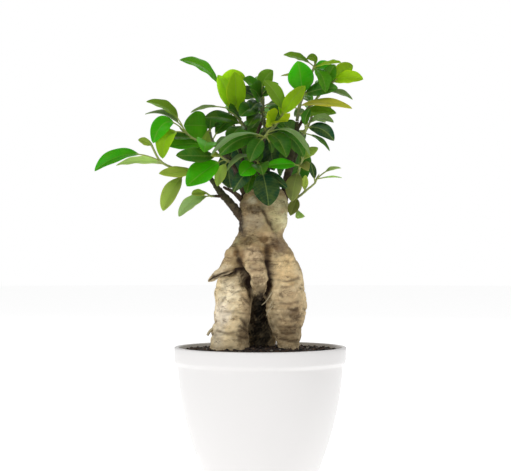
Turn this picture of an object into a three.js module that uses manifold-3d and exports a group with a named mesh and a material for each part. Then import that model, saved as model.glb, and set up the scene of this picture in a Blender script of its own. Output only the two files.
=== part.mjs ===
// A ginseng ficus bonsai in a round tapering pot, in millimetres, +Z up, its viewed side towards -Y.
import * as THREE from "three";
import { mergeVertices } from "three/addons/utils/BufferGeometryUtils.js";
import Module from "manifold-3d";

const wasm = await Module();
wasm.setup();

// Gap kept between neighbouring bodies
const CLEAR = 0.3;
// Edges shorter than this are closed up where bodies are joined
const WELD = 0.12;
// Points of a turned body nearer than this are one
const SAME_POINT = 0.001;
// A limb whose direction has less of +X than this takes +X as the reference for its sections
const STEEP = 0.6;

// Pot: a band round the rim, a soft step under it, then a wall that draws in towards a flat foot
const POT_HEIGHT = 125;
const POT_RADIUS = 75;
const POT_BAND_FOOT_RADIUS = 74.6;
const POT_BAND_BOTTOM = 113;
const POT_STEP_BOTTOM = 108.5;
const POT_WALL_RADIUS = 72.6;
const POT_WALL_BEND = 0.00187;
const POT_WALL = 4;
const POT_FLOOR = 5;
const POT_EDGE = 0.9;
const POT_FOOT_EDGE = 1;
const POT_OUTER_HEIGHTS = [22, 43, 65, 87];
const POT_INNER_HEIGHTS = [87, 65, 43, 22];
const POT_SEGMENTS = 32;

// Soil: its edge lies below the rim and it rises a little towards the trunk
const SOIL_EDGE_HEIGHT = 121.4;
const SOIL_MOUND = [[58, 122.2], [34, 123.2], [0, 123.6]];
const SOIL_HOLE_MARGIN = 0.4;

// Trunk: each limb is a list of rows [x, y, z, half width, half depth] along its middle
const ROOT_SIDES = 12;
const ROOTS = {
  left_leg: [
    [-30, -5, 96.5, 13, 12], [-28, -4, 112, 16.5, 16], [-26.5, -3, 126.5, 16.5, 17], [-25, -2, 142, 15.5, 16],
    [-24, 0, 157, 15.5, 15.5], [-23.5, 1, 169, 16, 15.5], [-24, 3, 178, 15, 15], [-22, 6, 188, 13.5, 14],
    [-14.5, 6, 200.5, 14, 14], [-3.5, 4, 212.5, 12, 12],
  ],
  right_leg: [
    [26, 0, 97.5, 6, 6], [25.5, 0, 111.5, 8.5, 8.5], [25, 0, 124, 9.5, 10], [24, 0, 136, 12, 12],
    [22.8, 0, 148, 15.8, 14.5], [22, 0, 160.5, 18, 16], [22.5, 0, 171.5, 16.6, 16],
    [23, 1, 183, 13.9, 15], [20.3, 2, 195, 13, 14], [14, 2, 208.5, 11.5, 13], [5.5, 2, 219.5, 11, 12],
  ],
  back_left: [
    [-27, 25, 97.5, 4.5, 4.5], [-26, 24, 118, 6, 6], [-23.5, 22, 140, 7, 7],
    [-20, 19, 164, 8, 8], [-14, 14, 188, 9.5, 9], [-6, 8, 208, 9, 8.5],
  ],
  back_mid: [
    [-2, 37, 96, 9, 9], [-2.5, 37, 112, 12.5, 12], [-2, 34, 132, 15.5, 14], [-1, 29.5, 152, 16.5, 14.5],
    [0.5, 24, 172, 15.5, 13.5], [2, 17, 192, 13, 12.5], [1.5, 9, 212, 10, 9.5],
  ],
  back_right: [
    [24, 29, 99, 4, 4], [24, 28, 116, 5, 5], [22, 25, 138, 6.5, 6.5], [19.5, 21, 162, 8, 8],
    [14.5, 15, 186, 9.5, 9], [7, 9, 207, 9, 8.5],
  ],
};
const UPPER_LIMBS = {
  body: [
    [0.5, 1, 242.5, 13, 10], [1, 1, 232, 16, 14], [0.5, 1, 224, 17, 16], [-0.5, 1, 217, 21, 18],
    [-1, 2, 210, 25.5, 20.5], [-0.5, 3, 203, 29.5, 21.5], [-0.5, 4, 196, 31, 21], [0, 5, 189, 27, 19],
    [0, 6, 182, 17.5, 14],
  ],
  bulge: [
    [-5.5, -6, 215.5, 8.5, 9], [-6.5, -11, 207.5, 12.5, 11.5], [-5, -13, 199, 12, 11.5],
    [-3, -14, 190.5, 10, 10], [-1.5, -13, 181, 7.5, 7.5], [0, -11, 172, 4.5, 4.5], [0.5, -9, 165, 2.5, 2],
  ],
  shoulder: [
    [-10.5, -4, 209.5, 10.5, 10], [-19.5, -10, 206, 9.5, 9.5], [-26, -14.5, 199, 7.5, 7.5],
    [-32.5, -17.5, 191.5, 4.9, 5.2], [-39, -19, 186.2, 3.1, 3.3], [-45.2, -20, 182.2, 1.9, 2.0],
  ],
  left_stump: [
    [-1, 0, 221.5, 14, 13], [-4.6, -1, 230, 14.4, 12.5], [-6, -1, 237, 13.2, 11.2], [-7, -1, 243, 12, 10.6],
    [-7.6, 0, 249.5, 11.4, 10.2], [-7.8, 1, 254.5, 9, 8.6], [-7.6, 1, 258.5, 5.2, 5],
  ],
  right_stump: [
    [13, 1, 218, 4.5, 5], [15.3, 0, 226, 5.8, 6], [15.8, -1, 233.5, 8.2, 8.5], [14.5, -1, 241.5, 10.5, 10.5],
    [14, 0, 248.5, 11.5, 11], [13.5, 0, 253.5, 11, 10.5],
  ],
};

// Woody branches: [name, radius at the root, radius at the flat end, points]
const WOOD_SIDES = 6;
const WOOD_STATIONS = 5;
const WOOD = [
  ["left", 4.7, 1.5, [
    [-9, -1, 229], [-17, -5, 239], [-26, -7, 250],
    [-35, -8, 260], [-42, -8, 270], [-50, -6, 276],
  ]],
  ["left_low", 1.4, 1.2, [[-33, -8, 256], [-39, -11, 256]]],
  ["twig", 2.8, 1.0, [[-12, 3, 248], [-21, -3, 258], [-32, -8, 264]]],
  ["inner_left", 3.2, 1.6, [[-10, 2, 246], [-15, 4, 262], [-21, 5, 277], [-27, 4, 289], [-36, 2, 298]]],
  ["inner_up", 1.5, 1.3, [[-21, 5, 279], [-28, 12, 288], [-36, 15, 297]]],
  ["inner_front", 1.5, 1.3, [[-17, 4, 270], [-21, -6, 278], [-25, -12, 284]]],
  ["top_left", 3.2, 1.6, [[-5, 3, 251], [-7, 5, 270], [-9, 6, 291], [-11, 5, 305], [-13, 4, 314]]],
  ["top_mid", 1.6, 1.3, [[-9, 6, 295], [-4, 6, 307], [1, 4, 321]]],
  ["front_low", 1.6, 1.3, [[-7, 4, 272], [-5, -8, 277], [-4, -12, 279]]],
  ["yellow", 3.2, 1.6, [[11, 0, 248], [5, -3, 267], [-3, -7, 285], [-1, -9, 298], [5, -10, 309]]],
  ["arch", 1.5, 1.3, [[-2, -7, 289], [1, -14, 297], [3, -18, 304]]],
  ["right", 3.6, 1.6, [[20, 3, 249], [23, 2, 270], [27, -1, 292], [31, -3, 309], [32, -4, 321]]],
  ["right_mid", 1.5, 1.3, [[28, -2, 299], [33, -7, 303], [36, -9, 308]]],
  ["right_hang", 1.6, 1.3, [[22, 2, 263], [28, -6, 268], [32, -10, 275]]],
  ["right_low", 1.8, 1.3, [[21, 3, 241], [25, 1, 246], [29, -1, 252]]],
  ["right_out", 1.5, 1.3, [[31, -3, 313], [36, 2, 321], [40, 3, 330]]],
  ["back_left", 2.6, 1.4, [[-8, 6, 248], [-11, 13, 267], [-15, 20, 287], [-20, 24, 303]]],
  ["back_mid", 2.8, 1.4, [[7, 8, 248], [7, 15, 271], [5, 20, 296], [4, 21, 315]]],
  ["back_right", 2.6, 1.4, [[16, 8, 248], [23, 15, 269], [30, 21, 289], [35, 25, 305]]],
];

// Leafy shoots: each stem carries on from the flat end of the branch it is "on".
// Leaves: [place along the stem, tip, tilt of the face from straight up towards the viewer in degrees,
// arch as a share of the length, petiole length, half width as a share of the length]
const STEM_SIDES = 5;
const STEM_LEAD = 2.5;
const STATION_SPACING = 0.1;
const SHOOTS = [
  {
    name: "far_left", on: "left", radii: [1.5, 0.9],
    stem: [[-64, -9, 279], [-77, -12, 281], [-87, -14, 287], [-94, -15, 300]],
    leaves: [
      [0.72, [-142, -26, 277], 36, 0.18, 20, 0.225],
      [0.42, [-126, 2, 283], 24, 0.09, 13, 0.19],
      [0.99, [-105, -22, 304], 74, 0.06, 1, 0.28],
      [0.06, [-87, -24, 275], 44, 0.0, 4, 0.17],
      [0.2, [-84, -16, 243], 56, 0.1, 10, 0.23],
    ],
  },
  {
    name: "low_left", on: "left_low", radii: [1.2, 0.8],
    stem: [[-43, -14, 256], [-46, -15, 258]],
    leaves: [
      [0.3, [-70, -24, 238], 42, 0.16, 5, 0.2],
      [0.97, [-59, -24, 257], 50, 0.08, 1.5, 0.3],
    ],
  },
  {
    name: "mid_left", on: "inner_left", radii: [1.4, 0.8],
    stem: [[-48, -4, 302], [-58, -8, 306], [-66, -10, 312]],
    leaves: [
      [0.97, [-99, -8, 338], 32, 0.17, 13, 0.21],
      [0.86, [-101, 6, 328], 14, 0.18, 13, 0.18],
      [0.99, [-92, -24, 301], 66, 0.44, 13, 0.24],
      [0.9, [-84, -16, 288], 75, 0.4, 11, 0.25],
      [0.6, [-81, -24, 306], 50, 0.06, 5, 0.28],
      [0.12, [-80, -20, 299], 60, 0.04, 9, 0.23],
      [0.45, [-69, -10, 300], 55, 0.1, 5, 0.26],
      [0.25, [-48, -30, 293], 75, 0.16, 4, 0.34],
    ],
  },
  {
    name: "left_back", on: "inner_up", radii: [1.3, 0.8],
    stem: [[-43, 18, 308], [-45, 20, 320]],
    leaves: [
      [0.7, [-42, 12, 330], 66, 0.05, 3, 0.28],
      [0.92, [-67, 0, 318], 72, 0.03, 1.5, 0.5],
      [0.8, [-30, 4, 325], 55, 0.14, 3, 0.34],
      [0.86, [-51, 6, 296], 72, 0.06, 2, 0.36],
      [0.4, [-21, 22, 327], 60, 0.12, 6, 0.24],
      [0.3, [-63, 30, 298], 55, 0.1, 6, 0.27],
    ],
  },
  {
    name: "left_front", on: "inner_front", radii: [1.4, 0.8],
    stem: [[-30, -17, 287], [-34, -20, 290]],
    leaves: [
      [0.6, [-63, -30, 264], 60, 0.04, 6, 0.32],
      [0.85, [-42, -34, 290], 60, 0.12, 4, 0.3],
      [0.25, [-37, -26, 264], 75, 0.12, 5, 0.22],
      [0.97, [-72, -34, 290], 64, 0.0, 6, 0.23],
    ],
  },
  {
    name: "top_left", on: "top_left", radii: [1.5, 0.9],
    stem: [[-19, 3, 324], [-26, 1, 332], [-31, -1, 342], [-36, -3, 352]],
    leaves: [
      [0.99, [-70, -10, 374], 42, 0.155, 4, 0.22],
      [0.4, [-37, -9, 361], 80, 0.05, 3, 0.22],
      [0.32, [-22, -21, 362], 66, 0.05, 3, 0.21],
      [0.5, [-61, 12, 329], 26, 0.11, 12, 0.18],
      [0.95, [-13, 4, 360], 66, 0.22, 2, 0.25],
      [0.05, [-48, -10, 324], 52, 0.09, 5, 0.26],
      [0.03, [-27, -4, 302], 58, 0.12, 5, 0.26],
      [0.14, [-27, -24, 330], 60, 0.1, 5, 0.3],
      [0.3, [-18, 18, 345], 66, 0.1, 5, 0.28],
    ],
  },
  {
    name: "top_mid", on: "top_mid", radii: [1.4, 0.8],
    stem: [[1, 3, 332], [1, 2, 341], [1, 1, 349]],
    leaves: [
      [0.82, [-15, -14, 357], 62, 0.1, 3, 0.35],
      [0.98, [11, -8, 365], 75, 0.12, 3, 0.36],
      [0.6, [-18, -8, 341], 45, 0.12, 7, 0.27],
      [0.75, [16, 8, 355], 55, 0.12, 5, 0.27],
      [0.4, [-17, -18, 324], 56, 0.1, 5, 0.3],
      [0.26, [21, -6, 319], 56, 0.1, 5, 0.28],
      [0.95, [-3, 14, 362], 40, 0.12, 6, 0.26],
      [0.5, [-8, -24, 330], 60, 0.1, 6, 0.26],
      [0.2, [-10, -22, 316], 60, 0.1, 6, 0.26],
      [0.72, [13, -20, 344], 62, 0.12, 3, 0.32],
      [0.55, [-19, 18, 350], 55, 0.1, 6, 0.28],
      [0.35, [-17, 16, 335], 55, 0.1, 6, 0.28],
      [0.55, [-9, -18, 347], 66, 0.1, 4, 0.32],
      [0.1, [21, 6, 316], 56, 0.1, 5, 0.3],
      [0.9, [2, 34, 361], -12, 0.2, 6, 0.26],
      [0.15, [13, 16, 325], 50, 0.1, 6, 0.26],
    ],
  },
  {
    name: "yellow", on: "yellow", radii: [1.4, 0.8],
    stem: [[12, -13, 316], [18, -15, 324], [21, -16, 332]],
    leaves: [
      [0.86, [3, -12, 354], 76, 0.08, 3, 0.2],
      [0.72, [38, -18, 349], 76, 0.04, 2, 0.18],
      [0.36, [23, -36, 319], 66, 0.12, 3, 0.4],
      [0.25, [6, -37, 327], 70, 0.08, 3, 0.44],
      [0.62, [22, -24, 342], 78, 0.06, 2, 0.27],
    ],
  },
  {
    name: "arch", on: "arch", radii: [1.4, 0.8],
    stem: [[4, -21, 307], [6, -24, 310]],
    leaves: [
      [0.95, [42, -46, 289], 22, 0.25, 6, 0.1],
      [0.3, [-35, -32, 290], 66, 0.15, 6, 0.2],
      [0.4, [-42, -46, 289], 24, 0.18, 6, 0.1],
      [0.6, [10, -8, 293], 60, 0.1, 6, 0.26],
      [0.75, [22, -44, 288], 62, 0.2, 6, 0.28],
      [0.5, [37, -22, 289], 65, 0.26, 8, 0.24],
      [0.2, [-9, -30, 284], 66, 0.12, 6, 0.26],
    ],
  },
  {
    name: "front_low", on: "front_low", radii: [1.4, 0.8],
    stem: [[-3, -18, 281], [0, -23, 283]],
    leaves: [
      [0.9, [7, -34, 247], 78, 0.1, 9, 0.38],
      [0.3, [23, -30, 262], 66, 0.02, 6, 0.18],
      [0.7, [2, -54, 273], 60, 0.12, 5, 0.24],
      [0.55, [-23, -30, 259], 72, 0.12, 5, 0.22],
      [0.8, [-17, -48, 273], 68, 0.12, 3, 0.4],
      [0.97, [-29, -44, 276], 16, 0.34, 4, 0.13],
      [0.35, [-12, -22, 258], 74, 0.08, 6, 0.26],
      [0.12, [7, -8, 261], 74, 0.08, 6, 0.24],
      [0.25, [-19, -6, 275], 66, 0.1, 5, 0.26],
      [0.6, [2, -36, 295], 60, 0.1, 5, 0.25],
    ],
  },
  {
    name: "top_right", on: "right", radii: [1.5, 0.9],
    stem: [[34, -6, 334], [38, -7, 346], [43, -7, 359], [47, -7, 369]],
    leaves: [
      [0.38, [32, -20, 372], 82, 0.04, 6, 0.39],
      [0.98, [20, -12, 378], 40, 0.1, 6, 0.24],
      [0.99, [40, -2, 375], 50, 0.42, 1.5, 0.3],
      [0.96, [69, -20, 370], 58, 0.04, 2, 0.22],
      [0.96, [56, -18, 345], 78, 0.22, 3, 0.28],
      [0.9, [66, -8, 357], 74, 0.24, 2, 0.26],
      [0.72, [18, 10, 362], 46, 0.06, 12, 0.16],
      [0.46, [67, -20, 349], 56, 0.06, 2, 0.24],
      [0.2, [16, 10, 330], 50, 0.12, 6, 0.27],
      [0.26, [79, -20, 331], 52, 0.08, 2, 0.13],
      [0.1, [66, -8, 328], 54, 0.05, 3, 0.23],
    ],
  },
  {
    name: "right_out", on: "right_out", radii: [1.4, 0.8],
    stem: [[47, 1, 339], [55, -2, 348], [63, -5, 355]],
    leaves: [
      [0.97, [89, -12, 357], 58, 0.12, 2, 0.26],
      [0.9, [81, 2, 370], 78, 0.1, 3, 0.32],
      [0.62, [81, 8, 341], 44, 0.1, 8, 0.22],
      [0.5, [55, 22, 358], 60, 0.12, 6, 0.25],
      [0.78, [65, -4, 370], 76, 0.1, 3, 0.32],
      [0.2, [39, 16, 344], 60, 0.1, 5, 0.27],
    ],
  },
  {
    name: "right_mid", on: "right_mid", radii: [1.4, 0.8],
    stem: [[39, -12, 312], [40, -14, 316]],
    leaves: [
      [0.85, [63, -26, 303], 54, 0.17, 2.5, 0.23],
      [0.97, [63, -2, 319], 48, 0.24, 4, 0.22],
      [0.1, [60, -10, 295], 24, 0.13, 6, 0.19],
      [0.6, [43, -22, 331], 66, 0.12, 5, 0.3],
    ],
  },
  {
    name: "right_hang", on: "right_hang", radii: [1.4, 0.8],
    stem: [[34, -14, 281], [36, -16, 287]],
    leaves: [
      [0.2, [27, -24, 251], 76, 0.12, 4, 0.27],
      [0.75, [50, -10, 298], 60, 0.1, 5, 0.26],
      [0.62, [5, -42, 281], 60, 0.05, 5, 0.18],
      [0.5, [41, -30, 277], 75, 0.22, 5, 0.28],
      [0.97, [30, -26, 297], 60, 0.1, 5, 0.26],
    ],
  },
  {
    name: "right_low", on: "right_low", radii: [1.3, 0.7],
    stem: [[35, -3, 257], [41, -5, 262], [47, -6, 267], [49, -6, 271]],
    leaves: [
      [0.99, [71, -6, 272], 24, 0.05, 5, 0.15],
      [0.96, [71, 8, 281], 24, 0.12, 12, 0.18],
      [0.78, [43, -10, 286], 50, 0.04, 4, 0.2],
      [0.02, [37, -14, 238], 52, -0.24, 11, 0.15],
      [0.14, [26, -18, 239], 75, 0.02, 3, 0.24],
      [0.4, [39, -14, 274], 60, 0.04, 2, 0.2],
    ],
  },
  {
    name: "back_left", on: "back_left", radii: [1.4, 0.8],
    stem: [[-22, 32, 316], [-27, 36, 329]],
    leaves: [
      [0.95, [-44, 54, 321], -40, 0.08, 7, 0.25],
      [0.98, [-21, 52, 347], -50, 0.14, 7, 0.25],
      [0.7, [-7, 55, 335], -50, 0.14, 7, 0.25],
      [0.6, [-40, 71, 324], -45, 0.08, 7, 0.26],
      [0.4, [-7, 64, 316], -50, 0.14, 7, 0.25],
      [0.3, [-25, 55, 288], -55, 0.14, 7, 0.25],
      [0.9, [-18, 72, 339], -45, 0.16, 6, 0.24],
      [0.1, [-16, 52, 279], -60, 0.16, 7, 0.25],
      [0.35, [-27, 69, 311], -50, 0.14, 7, 0.25],
      [0.2, [-38, 50, 299], -20, 0.14, 7, 0.25],
      [0.05, [-26, 18, 264], 66, 0.1, 5, 0.26],
      [0.12, [-12, 22, 266], 66, 0.12, 7, 0.28],
    ],
  },
  {
    name: "back_mid", on: "back_mid", radii: [1.4, 0.8],
    stem: [[3, 29, 332], [3, 33, 348]],
    leaves: [
      [0.98, [-10, 45, 358], -35, 0.14, 7, 0.25],
      [0.96, [11, 66, 353], -50, 0.14, 7, 0.25],
      [0.75, [-13, 52, 339], -45, 0.14, 7, 0.26],
      [0.65, [23, 47, 337], -45, 0.14, 7, 0.26],
      [0.5, [2, 71, 324], -50, 0.16, 7, 0.25],
      [0.35, [-11, 45, 310], -45, 0.14, 7, 0.26],
      [0.25, [20, 55, 310], -50, 0.14, 7, 0.26],
      [0.1, [4, 60, 292], -60, 0.16, 7, 0.25],
      [0.45, [-4, 15, 325], 60, 0.1, 6, 0.26],
      [0.16, [-12, 25, 300], 56, 0.1, 6, 0.27],
      [0.3, [-16, 20, 331], 62, 0.1, 6, 0.3],
      [0.85, [-1, 22, 354], 62, 0.1, 4, 0.3],
      [0.62, [19, 20, 329], 62, 0.1, 6, 0.3],
      [0.22, [18, 24, 297], 56, 0.1, 5, 0.26],
      [0.02, [12, 12, 278], 70, 0.08, 4, 0.26],
      [0.04, [5, 25, 282], 66, 0.12, 5, 0.26],
    ],
  },
  {
    name: "back_right", on: "back_right", radii: [1.4, 0.8],
    stem: [[43, 33, 320], [48, 37, 334]],
    leaves: [
      [0.98, [64, 49, 337], -40, 0.14, 7, 0.24],
      [0.95, [38, 52, 350], -45, 0.14, 7, 0.25],
      [0.75, [31, 59, 330], -50, 0.14, 7, 0.26],
      [0.65, [59, 52, 324], -40, 0.14, 7, 0.22],
      [0.9, [49, 72, 335], -50, 0.16, 6, 0.25],
      [0.4, [30, 55, 299], -55, 0.14, 7, 0.26],
      [0.25, [25, 55, 299], -55, 0.14, 7, 0.25],
      [0.1, [38, 50, 281], -60, 0.16, 7, 0.24],
      [0.05, [18, 24, 275], 64, 0.1, 5, 0.26],
      [0.1, [36, 25, 266], 66, 0.12, 6, 0.26],
      [0.28, [20, 30, 313], 56, 0.1, 5, 0.27],
      [0.1, [18, 20, 320], 68, 0.04, 4, 0.32],
    ],
  },
];

// Leaf blade
const BLADE_THICKNESS = 0.7;
const PETIOLE_THICKNESS = 1.0;
const PETIOLE_HALF_WIDTH = 0.52;
const PETIOLE_MOST = 0.5;
const BLADES = [
  { most: 32.5, rows: [0.26, 0.72] },
  { most: 40, rows: [0.2, 0.5, 0.8] },
  { most: Infinity, rows: [0.16, 0.38, 0.62, 0.84] },
];
const OUTLINE_FULLNESS = 0.68;
const FOLD_LEAST = 0.15;
const FOLD_SPREAD = 0.2;
const ROLL_SPREAD = 20;
const ARCH_LENGTHENING = 2.4;
const ARCH_LEAN = -0.35;

// Leaves are turned and moved in depth, step by step, until they are clear of their neighbours
const LEAF_GAP = 2.8;
const KIN_ALLOWANCE = 1.4;
const SHIFT_STEP = 5;
const ROLL_STEP = 14;
const ROLL_COST = 0.8;
const SHIFTS = [0, -1, 1, -2, 2, -3, 3, -4, 4];
const ROLLS = [0, -1, 1, -2, 2];
const TEST_ROWS = 14;
const TEST_START = 0.02;
const TEST_COLUMNS = [-1, -0.5, 0, 0.5, 1];
const TEST_PETIOLE = [0.4, 0.7, 1];
const OUTER_BLADE = 0.3;
const WOOD_TESTS = 24;
const STEM_TESTS = 20;
const STUMP_TESTS = [
  [-7, 0, 237, 12.5], [-7, 0, 247, 10], [14, 1, 238, 9.5], [14, 1, 246, 11], [0, 0, 222, 16],
];
const NEAR_MARGIN = 1;
const FAR = 99;

// A repeatable draw between 0 and 1 for draw number k of a seed
const HASH = { seed: 374761393, draw: 668265263, start: 12345, mix: 1274126177, range: 4294967296 };
const draw = (seed, k) => {
  let h = (Math.imul(seed, HASH.seed) + Math.imul(k, HASH.draw) + HASH.start) >>> 0;
  h = Math.imul(h ^ (h >>> 13), HASH.mix) >>> 0;
  return ((h ^ (h >>> 16)) >>> 0) / HASH.range;
};

const radians = (degrees) => (degrees * Math.PI) / 180;
const vector = (row) => new THREE.Vector3(row[0], row[1], row[2]);

// Smooth curve through rows of numbers, t from 0 to 1; every column follows the same curve
const spline = (rows, t) => {
  const last = rows.length - 1;
  const at = t * last;
  const i = Math.min(Math.max(Math.floor(at), 0), last - 1);
  const f = at - i;
  const b = rows[i];
  const c = rows[i + 1];
  const a = i > 0 ? rows[i - 1] : b.map((value, k) => 2 * value - c[k]);
  const d = i + 2 <= last ? rows[i + 2] : c.map((value, k) => 2 * value - b[k]);
  return b.map((_, k) => 0.5 * (2 * b[k] + (c[k] - a[k]) * f
    + (2 * a[k] - 5 * b[k] + 4 * c[k] - d[k]) * f * f
    + (3 * b[k] - a[k] - 3 * c[k] + d[k]) * f * f * f));
};

// Closed body from points and triangles, turned to face outwards
const solid = (points, triangles) => {
  let volume = 0;
  for (const [a, b, c] of triangles) {
    volume += points[a].dot(points[b].clone().cross(points[c]));
  }
  const turned = volume < 0 ? triangles.map(([a, b, c]) => [a, c, b]) : triangles;
  return new wasm.Manifold(new wasm.Mesh({
    numProp: 3,
    vertProperties: new Float32Array(points.flatMap((p) => [p.x, p.y, p.z])),
    triVerts: new Uint32Array(turned.flat()),
  }));
};

// Body turned about the upright axis from a profile of [radius, height] which starts and ends on it
const turnedBody = (profile) => {
  const lathe = new THREE.LatheGeometry(profile.map(([r, z]) => new THREE.Vector2(r, z)), POT_SEGMENTS);
  lathe.deleteAttribute("normal");
  lathe.deleteAttribute("uv");
  lathe.rotateX(Math.PI / 2);
  const merged = mergeVertices(lathe, SAME_POINT);
  const points = [];
  for (let i = 0; i < merged.attributes.position.count; i += 1) {
    points.push(new THREE.Vector3().fromBufferAttribute(merged.attributes.position, i));
  }
  const triangles = [];
  for (let i = 0; i < merged.index.count; i += 3) {
    const [a, b, c] = merged.index.array.subarray(i, i + 3);
    if (a !== b && b !== c && c !== a) {
      triangles.push([a, b, c]);
    }
  }
  return solid(points, triangles);
};

// Limb through rows [x, y, z, half width, half depth], cut flat at both ends
const limb = (rows, stations, sides) => {
  const chord = vector(rows[rows.length - 1]).sub(vector(rows[0])).normalize();
  const reference = Math.abs(chord.x) < STEEP ? new THREE.Vector3(1, 0, 0) : new THREE.Vector3(0, 1, 0);
  const points = [];
  const step = 0.001;
  for (const t of stations) {
    const [x, y, z, wide, deep] = spline(rows, t);
    const ahead = vector(spline(rows, Math.min(t + step, 1)));
    const along = ahead.sub(vector(spline(rows, Math.max(t - step, 0)))).normalize();
    const across = reference.clone().addScaledVector(along, -reference.dot(along)).normalize();
    const through = along.clone().cross(across);
    for (let k = 0; k < sides; k += 1) {
      const angle = (2 * Math.PI * k) / sides;
      points.push(new THREE.Vector3(x, y, z)
        .addScaledVector(across, wide * Math.cos(angle))
        .addScaledVector(through, deep * Math.sin(angle)));
    }
  }
  const triangles = [];
  const top = (stations.length - 1) * sides;
  for (let k = 0; k < sides; k += 1) {
    const next = (k + 1) % sides;
    for (let i = 0; i < top; i += sides) {
      triangles.push([i + k, i + next, i + sides + next], [i + k, i + sides + next, i + sides + k]);
    }
    if (k > 0 && next > 0) {
      triangles.push([0, next, k], [top, top + k, top + next]);
    }
  }
  return solid(points, triangles);
};

const even = (count) => Array.from({ length: count }, (_, i) => i / (count - 1));
const round = (points, first, last) => points.map((p, i) => {
  const radius = first + ((last - first) * i) / (points.length - 1);
  return [...p, radius, radius];
});
const widened = (rows, margin) => rows.map(([x, y, z, wide, deep], i) => [
  x, y, i === 0 ? z - margin : z, wide + margin, deep + margin,
]);

// Pot and soil
const wallRadius = (z) => POT_WALL_RADIUS - POT_WALL_BEND * (POT_HEIGHT - z) ** 2;
const innerRadius = (z) => {
  const lip = POT_HEIGHT - POT_EDGE;
  const foot = wallRadius(POT_STEP_BOTTOM) - POT_WALL;
  const share = (z - POT_STEP_BOTTOM) / (lip - POT_STEP_BOTTOM);
  return share > 0 ? foot + (POT_RADIUS - POT_WALL - foot) * share : wallRadius(z) - POT_WALL;
};

const buildPot = () => turnedBody([
  [0, 0],
  [wallRadius(0) - POT_FOOT_EDGE, 0],
  [wallRadius(POT_FOOT_EDGE), POT_FOOT_EDGE],
  ...POT_OUTER_HEIGHTS.map((z) => [wallRadius(z), z]),
  [wallRadius(POT_STEP_BOTTOM), POT_STEP_BOTTOM],
  [POT_BAND_FOOT_RADIUS, POT_BAND_BOTTOM],
  [POT_RADIUS, POT_HEIGHT - POT_EDGE],
  [POT_RADIUS - POT_EDGE, POT_HEIGHT],
  [POT_RADIUS - POT_WALL + POT_EDGE, POT_HEIGHT],
  [POT_RADIUS - POT_WALL, POT_HEIGHT - POT_EDGE],
  [innerRadius(POT_STEP_BOTTOM), POT_STEP_BOTTOM],
  ...POT_INNER_HEIGHTS.map((z) => [innerRadius(z), z]),
  [innerRadius(POT_FLOOR), POT_FLOOR],
  [0, POT_FLOOR],
]);

const buildSoil = () => {
  const bottom = POT_FLOOR + CLEAR;
  const heights = [bottom, ...POT_INNER_HEIGHTS.toReversed(), POT_STEP_BOTTOM, SOIL_EDGE_HEIGHT];
  const bed = turnedBody([
    [0, bottom],
    ...heights.map((z) => [innerRadius(z) - CLEAR, z]),
    ...SOIL_MOUND,
  ]);
  const holes = Object.values(ROOTS).map((rows) => limb(
    widened(rows, SOIL_HOLE_MARGIN),
    even(rows.length),
    ROOT_SIDES,
  ));
  return bed.subtract(wasm.Manifold.union(holes));
};

// Trunk: roots, neck, stumps and the woody branches grown from them
const buildTrunk = () => {
  const limbs = [...Object.values(ROOTS), ...Object.values(UPPER_LIMBS)].map(
    (rows) => limb(rows, even(rows.length), ROOT_SIDES),
  );
  const branches = WOOD.map(([, first, last, points]) => limb(
    round(points, first, last),
    even(Math.max(points.length, WOOD_STATIONS)),
    WOOD_SIDES,
  ));
  return wasm.Manifold.union([...limbs, ...branches]).simplify(WELD);
};

// Leaves
// A leaf's place along its stem counts from the end of the short straight lead
const stemShare = (points, at) => (1 + at * (points.length - 2)) / (points.length - 1);

const stemPoints = (shoot) => {
  const wood = WOOD.find(([name]) => name === shoot.on)[3];
  const end = vector(wood[wood.length - 1]);
  const ahead = end.clone().sub(vector(wood[wood.length - 2])).normalize();
  const first = end.clone().addScaledVector(ahead, CLEAR);
  const second = end.clone().addScaledVector(ahead, STEM_LEAD);
  return [first.toArray(), second.toArray(), ...shoot.stem];
};

const outline = (v) => Math.sin(Math.PI * Math.min(v, 1)) ** OUTLINE_FULLNESS;

// Where a leaf lies after the given number of steps in depth and of roll
const pose = (leaf, shift, roll) => {
  const tip = leaf.tip.clone();
  tip.y += SHIFT_STEP * shift;
  const chord = tip.clone().sub(leaf.root);
  const length = chord.length();
  const along = chord.normalize();
  const tilt = radians(leaf.tilt);
  const facing = new THREE.Vector3(0, -Math.sin(tilt), Math.cos(tilt));
  const normal = facing.addScaledVector(along, -along.dot(facing)).normalize();
  normal.applyAxisAngle(along, radians(leaf.roll + ROLL_STEP * roll));
  const bend = new THREE.Vector3(0, ARCH_LEAN * (leaf.tilt >= 0 ? 1 : -1), 1);
  bend.addScaledVector(along, -along.dot(bend)).normalize();
  const control = leaf.root.clone().add(tip).multiplyScalar(0.5);
  control.addScaledVector(bend, 2 * leaf.arch * length);
  const reach = length * (1 + ARCH_LENGTHENING * leaf.arch ** 2);
  const petiole = Math.min(leaf.petiole / reach, PETIOLE_MOST);
  return { root: leaf.root, control, tip, normal, reach, petiole };
};

// Middle line of a leaf at u from 0 at the stem to 1 at the tip, with its sideways and upward directions
const midrib = (posed, u) => {
  const point = posed.root.clone().multiplyScalar((1 - u) ** 2)
    .addScaledVector(posed.control, 2 * u * (1 - u))
    .addScaledVector(posed.tip, u * u);
  const along = posed.control.clone().sub(posed.root).multiplyScalar(1 - u)
    .add(posed.tip.clone().sub(posed.control).multiplyScalar(u))
    .normalize();
  const across = along.clone().cross(posed.normal).normalize();
  const up = across.clone().cross(along);
  return { point, across, up };
};

const halfWidth = (leaf, posed, v) => leaf.ratio * posed.reach * (1 - posed.petiole) * outline(v);

const xyz = ({ x, y, z }) => ({ x, y, z });

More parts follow.
